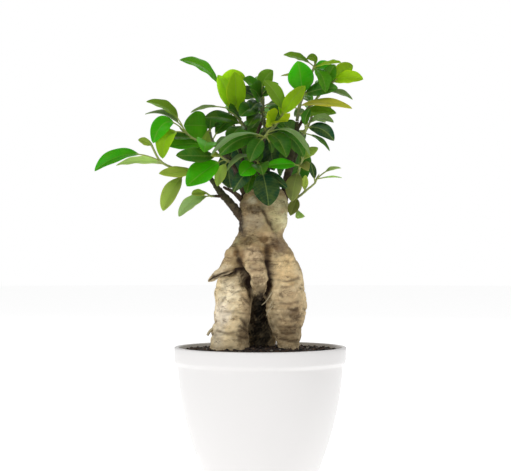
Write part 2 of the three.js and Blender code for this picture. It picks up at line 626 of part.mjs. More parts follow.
// Test points of a leaf: blade first, row by row, then the petiole
const testPoints = (leaf, posed) => {
  const points = [];
  for (let row = 0; row < TEST_ROWS; row += 1) {
    const v = TEST_START + ((1 - TEST_START) * row) / (TEST_ROWS - 1);
    const { point, across, up } = midrib(posed, posed.petiole + (1 - posed.petiole) * v);
    const width = halfWidth(leaf, posed, v);
    for (const s of TEST_COLUMNS) {
      const { x, y, z } = point.clone()
        .addScaledVector(across, s * width)
        .addScaledVector(up, leaf.fold * Math.abs(s) * width);
      points.push({ x, y, z, outer: v > OUTER_BLADE, stalk: false });
    }
  }
  for (const share of TEST_PETIOLE) {
    const { point } = midrib(posed, posed.petiole * share);
    points.push({ ...xyz(point), outer: false, stalk: true });
  }
  return points;
};

const clearance = (leaf, points, things) => {
  const middle = { x: 0, y: 0, z: 0 };
  for (const p of points) {
    middle.x += p.x / points.length;
    middle.y += p.y / points.length;
    middle.z += p.z / points.length;
  }
  const away = (p, q) => Math.hypot(p.x - q.x, p.y - q.y, p.z - q.z);
  const span = Math.max(...points.map((p) => away(p, middle)));
  const near = things.filter((q) => away(q, middle) - q.r < span + LEAF_GAP + NEAR_MARGIN);
  let least = FAR;
  for (const p of points) {
    for (const q of near) {
      const kin = q.shoot === leaf.shoot;
      if (kin && (p.stalk || (q.stem && !p.outer))) {
        continue;
      }
      least = Math.min(least, away(p, q) - q.r + (kin ? KIN_ALLOWANCE : 0));
    }
  }
  return least;
};

const tubePoints = (rows, count, shoot) => even(count).map((t) => {
  const [x, y, z, r] = spline(rows, t);
  return { x, y, z, r, shoot, stem: shoot !== null };
});

// Leaves in list order, each settled clear of the wood, the stems and the leaves before it
const settleLeaves = () => {
  const things = WOOD.flatMap(
    ([, first, last, points]) => tubePoints(round(points, first, last), WOOD_TESTS, null),
  );
  things.push(...STUMP_TESTS.map(([x, y, z, r]) => ({ x, y, z, r, shoot: null, stem: false })));
  const leaves = [];
  for (const shoot of SHOOTS) {
    const points = stemPoints(shoot);
    things.push(...tubePoints(round(points, ...shoot.radii), STEM_TESTS, shoot.name));
    for (const [at, tip, tilt, arch, petiole, ratio] of shoot.leaves) {
      const number = leaves.length + 1;
      leaves.push({
        shoot: shoot.name,
        root: vector(spline(points, stemShare(points, at))),
        tip: vector(tip),
        tilt,
        arch,
        petiole,
        ratio,
        fold: FOLD_LEAST + FOLD_SPREAD * draw(number, 1),
        roll: ROLL_SPREAD * (draw(number, 2) - 0.5),
      });
    }
  }
  const cost = ({ shift, roll }) => Math.abs(shift) + ROLL_COST * Math.abs(roll);
  const tries = SHIFTS.flatMap((shift) => ROLLS.map((roll) => ({ shift, roll })));
  tries.sort((a, b) => cost(a) - cost(b));
  for (const leaf of leaves) {
    let best = null;
    for (const { shift, roll } of tries) {
      const posed = pose(leaf, shift, roll);
      const points = testPoints(leaf, posed);
      const clear = clearance(leaf, points, things);
      if (best === null || clear > best.clear || clear >= LEAF_GAP) {
        best = { clear, posed, points };
      }
      if (clear >= LEAF_GAP) {
        break;
      }
    }
    leaf.posed = best.posed;
    things.push(...best.points.map(({ x, y, z, stalk }) => (
      { x, y, z, r: stalk ? PETIOLE_HALF_WIDTH : 0, shoot: leaf.shoot, stem: false })));
  }
  return leaves;
};

// One leaf: a petiole from the middle of the stem, then a blade folded along its midrib to a pointed tip.
// Every station is a row of points from left to right on the upper face and the same on the lower face.
const leafSolid = (leaf) => {
  const { posed } = leaf;
  const points = [];
  const addRow = (u, width, sides, thickness, face) => {
    const { point, across, up } = midrib(posed, u);
    return sides.map((side) => points.push(point.clone()
      .addScaledVector(across, side * width)
      .addScaledVector(up, Math.abs(side) * leaf.fold * width + (face * thickness) / 2)) - 1);
  };
  const addStation = (u, width, sides, thickness) => ({
    upper: addRow(u, width, sides, thickness, 1),
    lower: addRow(u, width, sides, thickness, -1),
  });
  const petioleSides = [-1, 1];
  const bladeSides = [-1, 0, 1];
  const stations = [
    addStation(0, PETIOLE_HALF_WIDTH, petioleSides, PETIOLE_THICKNESS),
    addStation(posed.petiole, PETIOLE_HALF_WIDTH, petioleSides, BLADE_THICKNESS),
  ];
  const { rows } = BLADES.find(({ most }) => posed.reach <= most);
  for (const v of rows) {
    const u = posed.petiole + (1 - posed.petiole) * v;
    stations.push(addStation(u, halfWidth(leaf, posed, v), bladeSides, BLADE_THICKNESS));
  }
  stations.push(addStation(1, 0, [0], BLADE_THICKNESS));

  const triangles = [];
  const addFace = (from, to, turned) => {
    let i = 0;
    let j = 0;
    while (i < from.length - 1 || j < to.length - 1) {
      const stepFrom = (i + 1) * (to.length - 1) <= (j + 1) * (from.length - 1) && i < from.length - 1;
      const [b, c] = stepFrom ? [from[i + 1], to[j]] : [to[j + 1], to[j]];
      triangles.push(turned ? [from[i], c, b] : [from[i], b, c]);
      i += stepFrom ? 1 : 0;
      j += stepFrom ? 0 : 1;
    }
  };
  stations.slice(1).forEach((to, index) => {
    const from = stations[index];
    const [fromUpper, fromLower] = [from.upper.at(-1), from.lower.at(-1)];
    const [toUpper, toLower] = [to.upper.at(-1), to.lower.at(-1)];
    addFace(from.upper, to.upper, false);
    addFace(from.lower, to.lower, true);
    triangles.push([from.upper[0], to.upper[0], to.lower[0]], [from.upper[0], to.lower[0], from.lower[0]]);
    triangles.push([fromUpper, toLower, toUpper], [fromUpper, fromLower, toLower]);
  });
  const [{ upper, lower }] = stations;
  triangles.push([upper[0], lower[0], lower[1]], [upper[0], lower[1], upper[1]]);
  return solid(points, triangles);
};

const buildShoot = (shoot, leaves) => {
  const points = stemPoints(shoot);
  const stations = [0, 1];
  const knots = [...shoot.leaves.map(([at]) => stemShare(points, at)), ...even(points.length)];
  for (const t of knots) {
    if (stations.every((s) => Math.abs(s - t) > STATION_SPACING)) {
      stations.push(t);
    }
  }
  stations.sort((a, b) => a - b);
  const stem = limb(round(points, ...shoot.radii), stations, STEM_SIDES);
  return wasm.Manifold.union([stem, ...leaves.map(leafSolid)]).simplify(WELD);
};

const GLAZE = { color: "#f1f0ee", roughness: 0.35 };
const EARTH = { color: "#1d1714", roughness: 1 };
const BARK = { color: "#b49f78", roughness: 0.9 };
const LEAF = { color: "#3f8a1d", roughness: 0.45 };

const named = (name, body, finish) => {
  const mesh = body.getMesh();
  const geometry = new THREE.BufferGeometry();
  geometry.setAttribute("position", new THREE.BufferAttribute(new Float32Array(mesh.vertProperties), 3));
  geometry.setIndex(new THREE.BufferAttribute(new Uint32Array(mesh.triVerts), 1));
  geometry.computeVertexNormals();
  const part = new THREE.Mesh(geometry, new THREE.MeshStandardMaterial(finish));
  part.name = name;
  return part;
};

const bonsai = new THREE.Group();
bonsai.name = "ficus_bonsai";
bonsai.add(named("pot", buildPot(), GLAZE));
bonsai.add(named("soil", buildSoil(), EARTH));
bonsai.add(named("trunk", buildTrunk(), BARK));
const leaves = settleLeaves();
for (const shoot of SHOOTS) {
  const own = leaves.filter((leaf) => leaf.shoot === shoot.name);
  bonsai.add(named(`shoot_${shoot.name}`, buildShoot(shoot, own), LEAF));
}

export default bonsai;
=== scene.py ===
"""The finished surfaces of a ginseng ficus bonsai in a white pot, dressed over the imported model.

Every length is in millimetres unless its name says otherwise, in the model's own frame: +Z up, the
viewed side towards -Y, the origin under the middle of the pot. Shapes are worked out with numpy and
turned to metres when they become meshes. The limbs of the trunk, the branches, the stems and the leaves
follow the same rows and the same settling rule as the solids they stand for.
"""

from __future__ import annotations

import logging
import math
from collections.abc import Callable, Sequence
from dataclasses import dataclass, field, replace
from enum import Enum
from functools import partial

import bpy
import numpy as np
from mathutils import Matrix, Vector

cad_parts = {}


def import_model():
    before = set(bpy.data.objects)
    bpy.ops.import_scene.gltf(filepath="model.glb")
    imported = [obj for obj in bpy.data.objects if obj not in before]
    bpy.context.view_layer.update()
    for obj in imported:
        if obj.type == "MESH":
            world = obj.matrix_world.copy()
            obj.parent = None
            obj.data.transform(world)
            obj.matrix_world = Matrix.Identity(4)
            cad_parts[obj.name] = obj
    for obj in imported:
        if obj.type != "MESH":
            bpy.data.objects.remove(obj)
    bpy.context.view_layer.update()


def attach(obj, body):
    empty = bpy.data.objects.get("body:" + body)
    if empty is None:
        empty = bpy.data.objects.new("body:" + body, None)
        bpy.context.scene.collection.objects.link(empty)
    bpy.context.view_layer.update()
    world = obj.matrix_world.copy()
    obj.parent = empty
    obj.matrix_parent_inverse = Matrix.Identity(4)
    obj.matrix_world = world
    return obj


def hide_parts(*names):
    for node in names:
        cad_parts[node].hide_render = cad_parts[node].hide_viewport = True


LOG = logging.getLogger("bonsai")
MM = 0.001
TURN = 2 * math.pi
BODY = "root"
WHITE = (1, 1, 1, 1)

# Whole numbers that mix a draw, and the largest of 32 bits
HASH_SEED = 374761393
HASH_DRAW = 668265263
HASH_START = 12345
HASH_MIX = 1274126177
WORD = 0xFFFFFFFF

# Points on a leaf that are tested for clearance: rows of blade points, then points on the stalk
SAMPLE_ROWS = 14
SAMPLE_ACROSS = (-1, -0.5, 0, 0.5, 1.0)
SAMPLE_STALK = (0.4, 0.7, 1.0)
SAMPLE_BLADE = SAMPLE_ROWS * len(SAMPLE_ACROSS)
SAMPLE_FOOT = 5 * len(SAMPLE_ACROSS)
STEM_OWNER = 1000
NO_OWNER = -1

# How a leaf's arch leans towards the viewer, how much longer it makes the leaf, and the blade's fullness
BEND_LEAN = 0.35
ARCH_REACH = 2.4
BLADE_POWER = 0.68

# Settings of shader nodes: a Mix of colours, and a Map Range with level ends
COLOURS = {"data_type": "RGBA"}
LEVEL_ENDS = {"interpolation_type": "SMOOTHSTEP"}

Row = tuple[float, ...]
Socket = bpy.types.NodeSocket
AddNode = Callable[..., Socket]


class Tint(Enum):
    """The leaf greens of the plant: the upper face's colour and how much light shines through. The two
    darkest are painted shade for leaves inside the crown.
    """

    # painted shade: a green darkened to stand for the shade inside the crown
    DARK = ("#2c6610", 0.26)
    GREEN = ("#54a818", 0.42)
    VIVID = ("#3cb400", 0.46)
    YELLOW_GREEN = ("#b8dc26", 0.62)
    BRIGHT = ("#e6ee36", 0.72)
    PALE = ("#c8d896", 0.56)
    OLIVE = ("#b2c05a", 0.50)
    KHAKI = ("#7c8044", 0.32)
    SAGE = ("#7f9c62", 0.34)
    MOSS = ("#76a026", 0.42)
    # a dark blue-green leaf, darkened further as painted shade inside the crown
    BLUE_GREEN = ("#0f3c22", 0.14)
    WARM = ("#d2be44", 0.54)

    def colour(self) -> np.ndarray:
        """The upper face's colour as linear red, green and blue."""
        return rgb(self.value[0])

    def glow(self) -> float:
        """The share of light that passes through the blade."""
        return self.value[1]


@dataclass(frozen=True)
class Limb:
    """A root or stump: rows of x, y, z, half width, half depth along its middle."""

    name: str
    rows: tuple[Row, ...]

    def knots(self) -> np.ndarray:
        """The rows as an array."""
        return np.array(self.rows, float)


@dataclass(frozen=True)
class Branch:
    """A woody branch, from its radius at the root to its radius at the flat end."""

    name: str
    root_radius: float
    end_radius: float
    points: tuple[Row, ...]

    def knots(self) -> np.ndarray:
        """The points as an array."""
        return np.array(self.points, float)

    def rows(self) -> np.ndarray:
        """The points with the radius at each, as a limb has them."""
        return with_radius(self.knots(), self.root_radius, self.end_radius)


DARK, GREEN, VIVID, YELLOW_GREEN, BRIGHT, PALE, OLIVE, KHAKI, SAGE, MOSS, BLUE_GREEN, WARM = Tint


@dataclass(frozen=True)
class Leaf:
    """One leaf as read from the plant.

    Attributes:
        at: place along the stem, 0 at its lead and 1 at its end.
        tip: the blade's tip.
        tilt: degrees the face is turned from straight up towards the viewer, or away if negative.
        arch: height of the arch as a share of the length.
        petiole: the stalk's length.
        ratio: half width as a share of the blade's length.
        tint: its green.
    """

    at: float
    tip: Row
    tilt: float
    arch: float
    petiole: float
    ratio: float
    tint: Tint


@dataclass(frozen=True)
class Shoot:
    """A green stem that carries on from a branch, with its leaves."""

    name: str
    branch: str
    root_radius: float
    end_radius: float
    stem: tuple[Row, ...]
    leaves: tuple[Leaf, ...]


@dataclass(frozen=True)
class Patch:
    """A patch of another colour on the bark, egg-shaped, with a soft edge. Some patches are the bark's own
    stains; others are painted highlights and painted shade.
    """

    middle: Row
    reach: Row
    colour: str
    strength: float


class Side(Enum):
    """The side a fold is drawn on: the axis drawn across, the axis it faces along, and which way."""

    FRONT = (0, 1, -1)
    BACK = (0, 1, 1)
    LEFT = (1, 0, -1)
    RIGHT = (1, 0, 1)


FRONT, BACK, LEFT, RIGHT = Side


@dataclass(frozen=True)
class Crease:
    """A fold on one side of the bark, drawn as points across that side and up.

    Attributes:
        path: three or more points along the fold: x or y, then z.
        width: half width of the dent.
        depth: depth of the dent; a negative depth is a raised cord.
        dark: how much painted shade lies in the fold, from 0 to 1.
        side: the side it is drawn on.
    """

    path: tuple[Row, ...]
    width: float
    depth: float
    dark: float
    side: Side = FRONT


# The swollen roots and the stumps, each followed along its middle line
ROOTS: tuple[Limb, ...] = (
    Limb("left_leg", (
        (-30, -5, 96.5, 13, 12), (-28, -4, 112, 16.5, 16),
        (-26.5, -3, 126.5, 16.5, 17), (-25, -2, 142, 15.5, 16),
        (-24, 0, 157, 15.5, 15.5), (-23.5, 1, 169, 16, 15.5), (-24, 3, 178, 15, 15), (-22, 6, 188, 13.5, 14),
        (-14.5, 6, 200.5, 14, 14), (-3.5, 4, 212.5, 12, 12),
    )),
    Limb("right_leg", (
        (26, 0, 97.5, 6, 6), (25.5, 0, 111.5, 8.5, 8.5), (25, 0, 124, 9.5, 10), (24, 0, 136, 12, 12),
        (22.8, 0, 148, 15.8, 14.5), (22, 0, 160.5, 18, 16), (22.5, 0, 171.5, 16.6, 16),
        (23, 1, 183, 13.9, 15), (20.3, 2, 195, 13, 14), (14, 2, 208.5, 11.5, 13), (5.5, 2, 219.5, 11, 12),
    )),
    Limb("back_left", (
        (-27, 25, 97.5, 4.5, 4.5), (-26, 24, 118, 6, 6), (-23.5, 22, 140, 7, 7),
        (-20, 19, 164, 8, 8), (-14, 14, 188, 9.5, 9), (-6, 8, 208, 9, 8.5),
    )),
    Limb("back_mid", (
        (-2, 37, 96, 9, 9), (-2.5, 37, 112, 12.5, 12), (-2, 34, 132, 15.5, 14), (-1, 29.5, 152, 16.5, 14.5),
        (0.5, 24, 172, 15.5, 13.5), (2, 17, 192, 13, 12.5), (1.5, 9, 212, 10, 9.5),
    )),
    Limb("back_right", (
        (24, 29, 99, 4, 4), (24, 28, 116, 5, 5), (22, 25, 138, 6.5, 6.5), (19.5, 21, 162, 8, 8),
        (14.5, 15, 186, 9.5, 9), (7, 9, 207, 9, 8.5),
    )),
    Limb("body", (
        (0.5, 1, 242.5, 13, 10), (1, 1, 232, 16, 14), (0.5, 1, 224, 17, 16), (-0.5, 1, 217, 21, 18),
        (-1, 2, 210, 25.5, 20.5), (-0.5, 3, 203, 29.5, 21.5), (-0.5, 4, 196, 31, 21), (0, 5, 189, 27, 19),
        (0, 6, 182, 17.5, 14),
    )),
    Limb("bulge", (
        (-5.5, -6, 215.5, 8.5, 9), (-6.5, -11, 207.5, 12.5, 11.5), (-5, -13, 199, 12, 11.5),
        (-3, -14, 190.5, 10, 10), (-1.5, -13, 181, 7.5, 7.5), (0, -11, 172, 4.5, 4.5), (0.5, -9, 165, 2.5, 2),
    )),
    Limb("shoulder", (
        (-10.5, -4, 209.5, 10.5, 10), (-19.5, -10, 206, 9.5, 9.5), (-26, -14.5, 199, 7.5, 7.5),
        (-32.5, -17.5, 191.5, 4.9, 5.2), (-39, -19, 186.2, 3.1, 3.3), (-45.2, -20, 182.2, 1.9, 2.0),
    )),
    Limb("left_stump", (
        (-1, 0, 221.5, 14, 13), (-4.6, -1, 230, 14.4, 12.5), (-6, -1, 237, 13.2, 11.2),
        (-7, -1, 243, 12, 10.6),
        (-7.6, 0, 249.5, 11.4, 10.2), (-7.8, 1, 254.5, 9, 8.6), (-7.6, 1, 258.5, 5.2, 5),
    )),
    Limb("right_stump", (
        (13, 1, 218, 4.5, 5), (15.3, 0, 226, 5.8, 6), (15.8, -1, 233.5, 8.2, 8.5),
        (14.5, -1, 241.5, 10.5, 10.5),
        (14, 0, 248.5, 11.5, 11), (13.5, 0, 253.5, 11, 10.5),
    )),
)

# The woody branches, root end first
WOOD: tuple[Branch, ...] = (
    Branch("left", 4.7, 1.5, (
        (-9, -1, 229), (-17, -5, 239), (-26, -7, 250),
        (-35, -8, 260), (-42, -8, 270), (-50, -6, 276),
    )),
    Branch("left_low", 1.4, 1.2, ((-33, -8, 256), (-39, -11, 256))),
    Branch("twig", 2.8, 1.0, ((-12, 3, 248), (-21, -3, 258), (-32, -8, 264))),
    Branch("inner_left", 3.2, 1.6, (
        (-10, 2, 246), (-15, 4, 262), (-21, 5, 277),
        (-27, 4, 289), (-36, 2, 298),
    )),
    Branch("inner_up", 1.5, 1.3, ((-21, 5, 279), (-28, 12, 288), (-36, 15, 297))),
    Branch("inner_front", 1.5, 1.3, ((-17, 4, 270), (-21, -6, 278), (-25, -12, 284))),
    Branch("top_left", 3.2, 1.6, ((-5, 3, 251), (-7, 5, 270), (-9, 6, 291), (-11, 5, 305), (-13, 4, 314))),
    Branch("top_mid", 1.6, 1.3, ((-9, 6, 295), (-4, 6, 307), (1, 4, 321))),
    Branch("front_low", 1.6, 1.3, ((-7, 4, 272), (-5, -8, 277), (-4, -12, 279))),
    Branch("yellow", 3.2, 1.6, ((11, 0, 248), (5, -3, 267), (-3, -7, 285), (-1, -9, 298), (5, -10, 309))),
    Branch("arch", 1.5, 1.3, ((-2, -7, 289), (1, -14, 297), (3, -18, 304))),
    Branch("right", 3.6, 1.6, ((20, 3, 249), (23, 2, 270), (27, -1, 292), (31, -3, 309), (32, -4, 321))),
    Branch("right_mid", 1.5, 1.3, ((28, -2, 299), (33, -7, 303), (36, -9, 308))),
    Branch("right_hang", 1.6, 1.3, ((22, 2, 263), (28, -6, 268), (32, -10, 275))),
    Branch("right_low", 1.8, 1.3, ((21, 3, 241), (25, 1, 246), (29, -1, 252))),
    Branch("right_out", 1.5, 1.3, ((31, -3, 313), (36, 2, 321), (40, 3, 330))),
    Branch("back_left", 2.6, 1.4, ((-8, 6, 248), (-11, 13, 267), (-15, 20, 287), (-20, 24, 303))),
    Branch("back_mid", 2.8, 1.4, ((7, 8, 248), (7, 15, 271), (5, 20, 296), (4, 21, 315))),
    Branch("back_right", 2.6, 1.4, ((16, 8, 248), (23, 15, 269), (30, 21, 289), (35, 25, 305))),
)

# The leafy shoots: name, branch, stem radii, stem, leaves
SHOOTS: tuple[Shoot, ...] = (
    Shoot("far_left", "left", 1.5, 0.9, ((-64, -9, 279), (-77, -12, 281), (-87, -14, 287), (-94, -15, 300)), (
        Leaf(0.72, (-142, -26, 277), 36, 0.18, 20, 0.225, VIVID),
        Leaf(0.42, (-126, 2, 283), 24, 0.09, 13, 0.19, PALE),
        Leaf(0.99, (-105, -22, 304), 74, 0.06, 1, 0.28, OLIVE),
        Leaf(0.06, (-87, -24, 275), 44, 0.0, 4, 0.17, OLIVE),
        Leaf(0.2, (-84, -16, 243), 56, 0.1, 10, 0.23, OLIVE),
    )),
    Shoot("low_left", "left_low", 1.2, 0.8, ((-43, -14, 256), (-46, -15, 258)), (
        Leaf(0.3, (-70, -24, 238), 42, 0.16, 5, 0.2, PALE),
        Leaf(0.97, (-59, -24, 257), 50, 0.08, 1.5, 0.3, OLIVE),
    )),
    Shoot("mid_left", "inner_left", 1.4, 0.8, ((-48, -4, 302), (-58, -8, 306), (-66, -10, 312)), (
        Leaf(0.97, (-99, -8, 338), 32, 0.17, 13, 0.21, MOSS),
        Leaf(0.86, (-101, 6, 328), 14, 0.18, 13, 0.18, SAGE),
        Leaf(0.99, (-92, -24, 301), 66, 0.44, 13, 0.24, VIVID),
        Leaf(0.9, (-84, -16, 288), 75, 0.4, 11, 0.25, YELLOW_GREEN),
        Leaf(0.6, (-81, -24, 306), 50, 0.06, 5, 0.28, DARK),
        Leaf(0.12, (-80, -20, 299), 60, 0.04, 9, 0.23, GREEN),
        Leaf(0.45, (-69, -10, 300), 55, 0.1, 5, 0.26, GREEN),
        Leaf(0.25, (-48, -30, 293), 75, 0.16, 4, 0.34, GREEN),
    )),
    Shoot("left_back", "inner_up", 1.3, 0.8, ((-43, 18, 308), (-45, 20, 320)), (
        Leaf(0.7, (-42, 12, 330), 66, 0.05, 3, 0.28, DARK),
        Leaf(0.92, (-67, 0, 318), 72, 0.03, 1.5, 0.5, GREEN),
        Leaf(0.8, (-30, 4, 325), 55, 0.14, 3, 0.34, DARK),
        Leaf(0.86, (-51, 6, 296), 72, 0.06, 2, 0.36, OLIVE),
        Leaf(0.4, (-21, 22, 327), 60, 0.12, 6, 0.24, DARK),
        Leaf(0.3, (-63, 30, 298), 55, 0.1, 6, 0.27, DARK),
    )),
    Shoot("left_front", "inner_front", 1.4, 0.8, ((-30, -17, 287), (-34, -20, 290)), (
        Leaf(0.6, (-63, -30, 264), 60, 0.04, 6, 0.32, VIVID),
        Leaf(0.85, (-42, -34, 290), 60, 0.12, 4, 0.3, OLIVE),
        Leaf(0.25, (-37, -26, 264), 75, 0.12, 5, 0.22, OLIVE),
        Leaf(0.97, (-72, -34, 290), 64, 0.0, 6, 0.23, DARK),
    )),
    Shoot("top_left", "top_left", 1.5, 0.9, ((-19, 3, 324), (-26, 1, 332), (-31, -1, 342), (-36, -3, 352)), (
        Leaf(0.99, (-70, -10, 374), 42, 0.155, 4, 0.22, GREEN),
        Leaf(0.4, (-37, -9, 361), 80, 0.05, 3, 0.22, YELLOW_GREEN),
        Leaf(0.32, (-22, -21, 362), 66, 0.05, 3, 0.21, YELLOW_GREEN),
        Leaf(0.5, (-61, 12, 329), 26, 0.11, 12, 0.18, SAGE),
        Leaf(0.95, (-13, 4, 360), 66, 0.22, 2, 0.25, YELLOW_GREEN),
        Leaf(0.05, (-48, -10, 324), 52, 0.09, 5, 0.26, DARK),
        Leaf(0.03, (-27, -4, 302), 58, 0.12, 5, 0.26, DARK),
        Leaf(0.14, (-27, -24, 330), 60, 0.1, 5, 0.3, DARK),
        Leaf(0.3, (-18, 18, 345), 66, 0.1, 5, 0.28, BLUE_GREEN),
    )),
    Shoot("top_mid", "top_mid", 1.4, 0.8, ((1, 3, 332), (1, 2, 341), (1, 1, 349)), (
        Leaf(0.82, (-15, -14, 357), 62, 0.1, 3, 0.35, GREEN),
        Leaf(0.98, (11, -8, 365), 75, 0.12, 3, 0.36, MOSS),
        Leaf(0.6, (-18, -8, 341), 45, 0.12, 7, 0.27, DARK),
        Leaf(0.75, (16, 8, 355), 55, 0.12, 5, 0.27, GREEN),
        Leaf(0.4, (-17, -18, 324), 56, 0.1, 5, 0.3, DARK),
        Leaf(0.26, (21, -6, 319), 56, 0.1, 5, 0.28, DARK),
        Leaf(0.95, (-3, 14, 362), 40, 0.12, 6, 0.26, GREEN),
        Leaf(0.5, (-8, -24, 330), 60, 0.1, 6, 0.26, BLUE_GREEN),
        Leaf(0.2, (-10, -22, 316), 60, 0.1, 6, 0.26, DARK),
        Leaf(0.72, (13, -20, 344), 62, 0.12, 3, 0.32, DARK),
        Leaf(0.55, (-19, 18, 350), 55, 0.1, 6, 0.28, BLUE_GREEN),
        Leaf(0.35, (-17, 16, 335), 55, 0.1, 6, 0.28, BLUE_GREEN),
        Leaf(0.55, (-9, -18, 347), 66, 0.1, 4, 0.32, DARK),
        Leaf(0.1, (21, 6, 316), 56, 0.1, 5, 0.3, DARK),
        Leaf(0.9, (2, 34, 361), -12, 0.2, 6, 0.26, GREEN),
        Leaf(0.15, (13, 16, 325), 50, 0.1, 6, 0.26, DARK),
    )),
    Shoot("yellow", "yellow", 1.4, 0.8, ((12, -13, 316), (18, -15, 324), (21, -16, 332)), (
        Leaf(0.86, (3, -12, 354), 76, 0.08, 3, 0.2, MOSS),
        Leaf(0.72, (38, -18, 349), 76, 0.04, 2, 0.18, YELLOW_GREEN),
        Leaf(0.36, (23, -36, 319), 66, 0.12, 3, 0.4, BRIGHT),
        Leaf(0.25, (6, -37, 327), 70, 0.08, 3, 0.44, BRIGHT),
        Leaf(0.62, (22, -24, 342), 78, 0.06, 2, 0.27, YELLOW_GREEN),
    )),
    Shoot("arch", "arch", 1.4, 0.8, ((4, -21, 307), (6, -24, 310)), (
        Leaf(0.95, (42, -46, 289), 22, 0.25, 6, 0.1, SAGE),
        Leaf(0.3, (-35, -32, 290), 66, 0.15, 6, 0.2, DARK),
        Leaf(0.4, (-42, -46, 289), 24, 0.18, 6, 0.1, SAGE),
        Leaf(0.6, (10, -8, 293), 60, 0.1, 6, 0.26, DARK),
        Leaf(0.75, (22, -44, 288), 62, 0.2, 6, 0.28, DARK),
        Leaf(0.5, (37, -22, 289), 65, 0.26, 8, 0.24, DARK),
        Leaf(0.2, (-9, -30, 284), 66, 0.12, 6, 0.26, DARK),
    )),
    Shoot("front_low", "front_low", 1.4, 0.8, ((-3, -18, 281), (0, -23, 283)), (
        Leaf(0.9, (7, -34, 247), 78, 0.1, 9, 0.38, BLUE_GREEN),
        Leaf(0.3, (23, -30, 262), 66, 0.02, 6, 0.18, BLUE_GREEN),
        Leaf(0.7, (2, -54, 273), 60, 0.12, 5, 0.24, DARK),
        Leaf(0.55, (-23, -30, 259), 72, 0.12, 5, 0.22, BLUE_GREEN),
        Leaf(0.8, (-17, -48, 273), 68, 0.12, 3, 0.4, VIVID),
        Leaf(0.97, (-29, -44, 276), 16, 0.34, 4, 0.13, SAGE),
        Leaf(0.35, (-12, -22, 258), 74, 0.08, 6, 0.26, DARK),
        Leaf(0.12, (7, -8, 261), 74, 0.08, 6, 0.24, DARK),
        Leaf(0.25, (-19, -6, 275), 66, 0.1, 5, 0.26, BLUE_GREEN),
        Leaf(0.6, (2, -36, 295), 60, 0.1, 5, 0.25, DARK),
    )),
    Shoot("top_right", "right", 1.5, 0.9, ((34, -6, 334), (38, -7, 346), (43, -7, 359), (47, -7, 369)), (
        Leaf(0.38, (32, -20, 372), 82, 0.04, 6, 0.39, VIVID),
        Leaf(0.98, (20, -12, 378), 40, 0.1, 6, 0.24, MOSS),
        Leaf(0.99, (40, -2, 375), 50, 0.42, 1.5, 0.3, MOSS),
        Leaf(0.96, (69, -20, 370), 58, 0.04, 2, 0.22, YELLOW_GREEN),
        Leaf(0.96, (56, -18, 345), 78, 0.22, 3, 0.28, GREEN),
        Leaf(0.9, (66, -8, 357), 74, 0.24, 2, 0.26, VIVID),
        Leaf(0.72, (18, 10, 362), 46, 0.06, 12, 0.16, OLIVE),
        Leaf(0.46, (67, -20, 349), 56, 0.06, 2, 0.24, DARK),
        Leaf(0.2, (16, 10, 330), 50, 0.12, 6, 0.27, DARK),
        Leaf(0.26, (79, -20, 331), 52, 0.08, 2, 0.13, WARM),
        Leaf(0.1, (66, -8, 328), 54, 0.05, 3, 0.23, MOSS),
    )),
    Shoot("right_out", "right_out", 1.4, 0.8, ((47, 1, 339), (55, -2, 348), (63, -5, 355)), (
        Leaf(0.97, (89, -12, 357), 58, 0.12, 2, 0.26, YELLOW_GREEN),
        Leaf(0.9, (81, 2, 370), 78, 0.1, 3, 0.32, YELLOW_GREEN),
        Leaf(0.62, (81, 8, 341), 44, 0.1, 8, 0.22, SAGE),
        Leaf(0.5, (55, 22, 358), 60, 0.12, 6, 0.25, GREEN),
        Leaf(0.78, (65, -4, 370), 76, 0.1, 3, 0.32, GREEN),
        Leaf(0.2, (39, 16, 344), 60, 0.1, 5, 0.27, DARK),
    )),
    Shoot("right_mid", "right_mid", 1.4, 0.8, ((39, -12, 312), (40, -14, 316)), (
        Leaf(0.85, (63, -26, 303), 54, 0.17, 2.5, 0.23, BLUE_GREEN),
        Leaf(0.97, (63, -2, 319), 48, 0.24, 4, 0.22, SAGE),
        Leaf(0.1, (60, -10, 295), 24, 0.13, 6, 0.19, DARK),
        Leaf(0.6, (43, -22, 331), 66, 0.12, 5, 0.3, DARK),
    )),
    Shoot("right_hang", "right_hang", 1.4, 0.8, ((34, -14, 281), (36, -16, 287)), (
        Leaf(0.2, (27, -24, 251), 76, 0.12, 4, 0.27, KHAKI),
        Leaf(0.75, (50, -10, 298), 60, 0.1, 5, 0.26, OLIVE),
        Leaf(0.62, (5, -42, 281), 60, 0.05, 5, 0.18, VIVID),
        Leaf(0.5, (41, -30, 277), 75, 0.22, 5, 0.28, KHAKI),
        Leaf(0.97, (30, -26, 297), 60, 0.1, 5, 0.26, DARK),
    )),
    Shoot("right_low", "right_low", 1.3, 0.7, ((35, -3, 257), (41, -5, 262), (47, -6, 267), (49, -6, 271)), (
        Leaf(0.99, (71, -6, 272), 24, 0.05, 5, 0.15, PALE),
        Leaf(0.96, (71, 8, 281), 24, 0.12, 12, 0.18, PALE),
        Leaf(0.78, (43, -10, 286), 50, 0.04, 4, 0.2, BLUE_GREEN),
        Leaf(0.02, (37, -14, 238), 52, -0.24, 11, 0.15, PALE),
        Leaf(0.14, (26, -18, 239), 75, 0.02, 3, 0.24, KHAKI),
        Leaf(0.4, (39, -14, 274), 60, 0.04, 2, 0.2, OLIVE),
    )),
    Shoot("back_left", "back_left", 1.4, 0.8, ((-22, 32, 316), (-27, 36, 329)), (
        Leaf(0.95, (-44, 54, 321), -40, 0.08, 7, 0.25, DARK),
        Leaf(0.98, (-21, 52, 347), -50, 0.14, 7, 0.25, DARK),
        Leaf(0.7, (-7, 55, 335), -50, 0.14, 7, 0.25, GREEN),
        Leaf(0.6, (-40, 71, 324), -45, 0.08, 7, 0.26, GREEN),
        Leaf(0.4, (-7, 64, 316), -50, 0.14, 7, 0.25, GREEN),
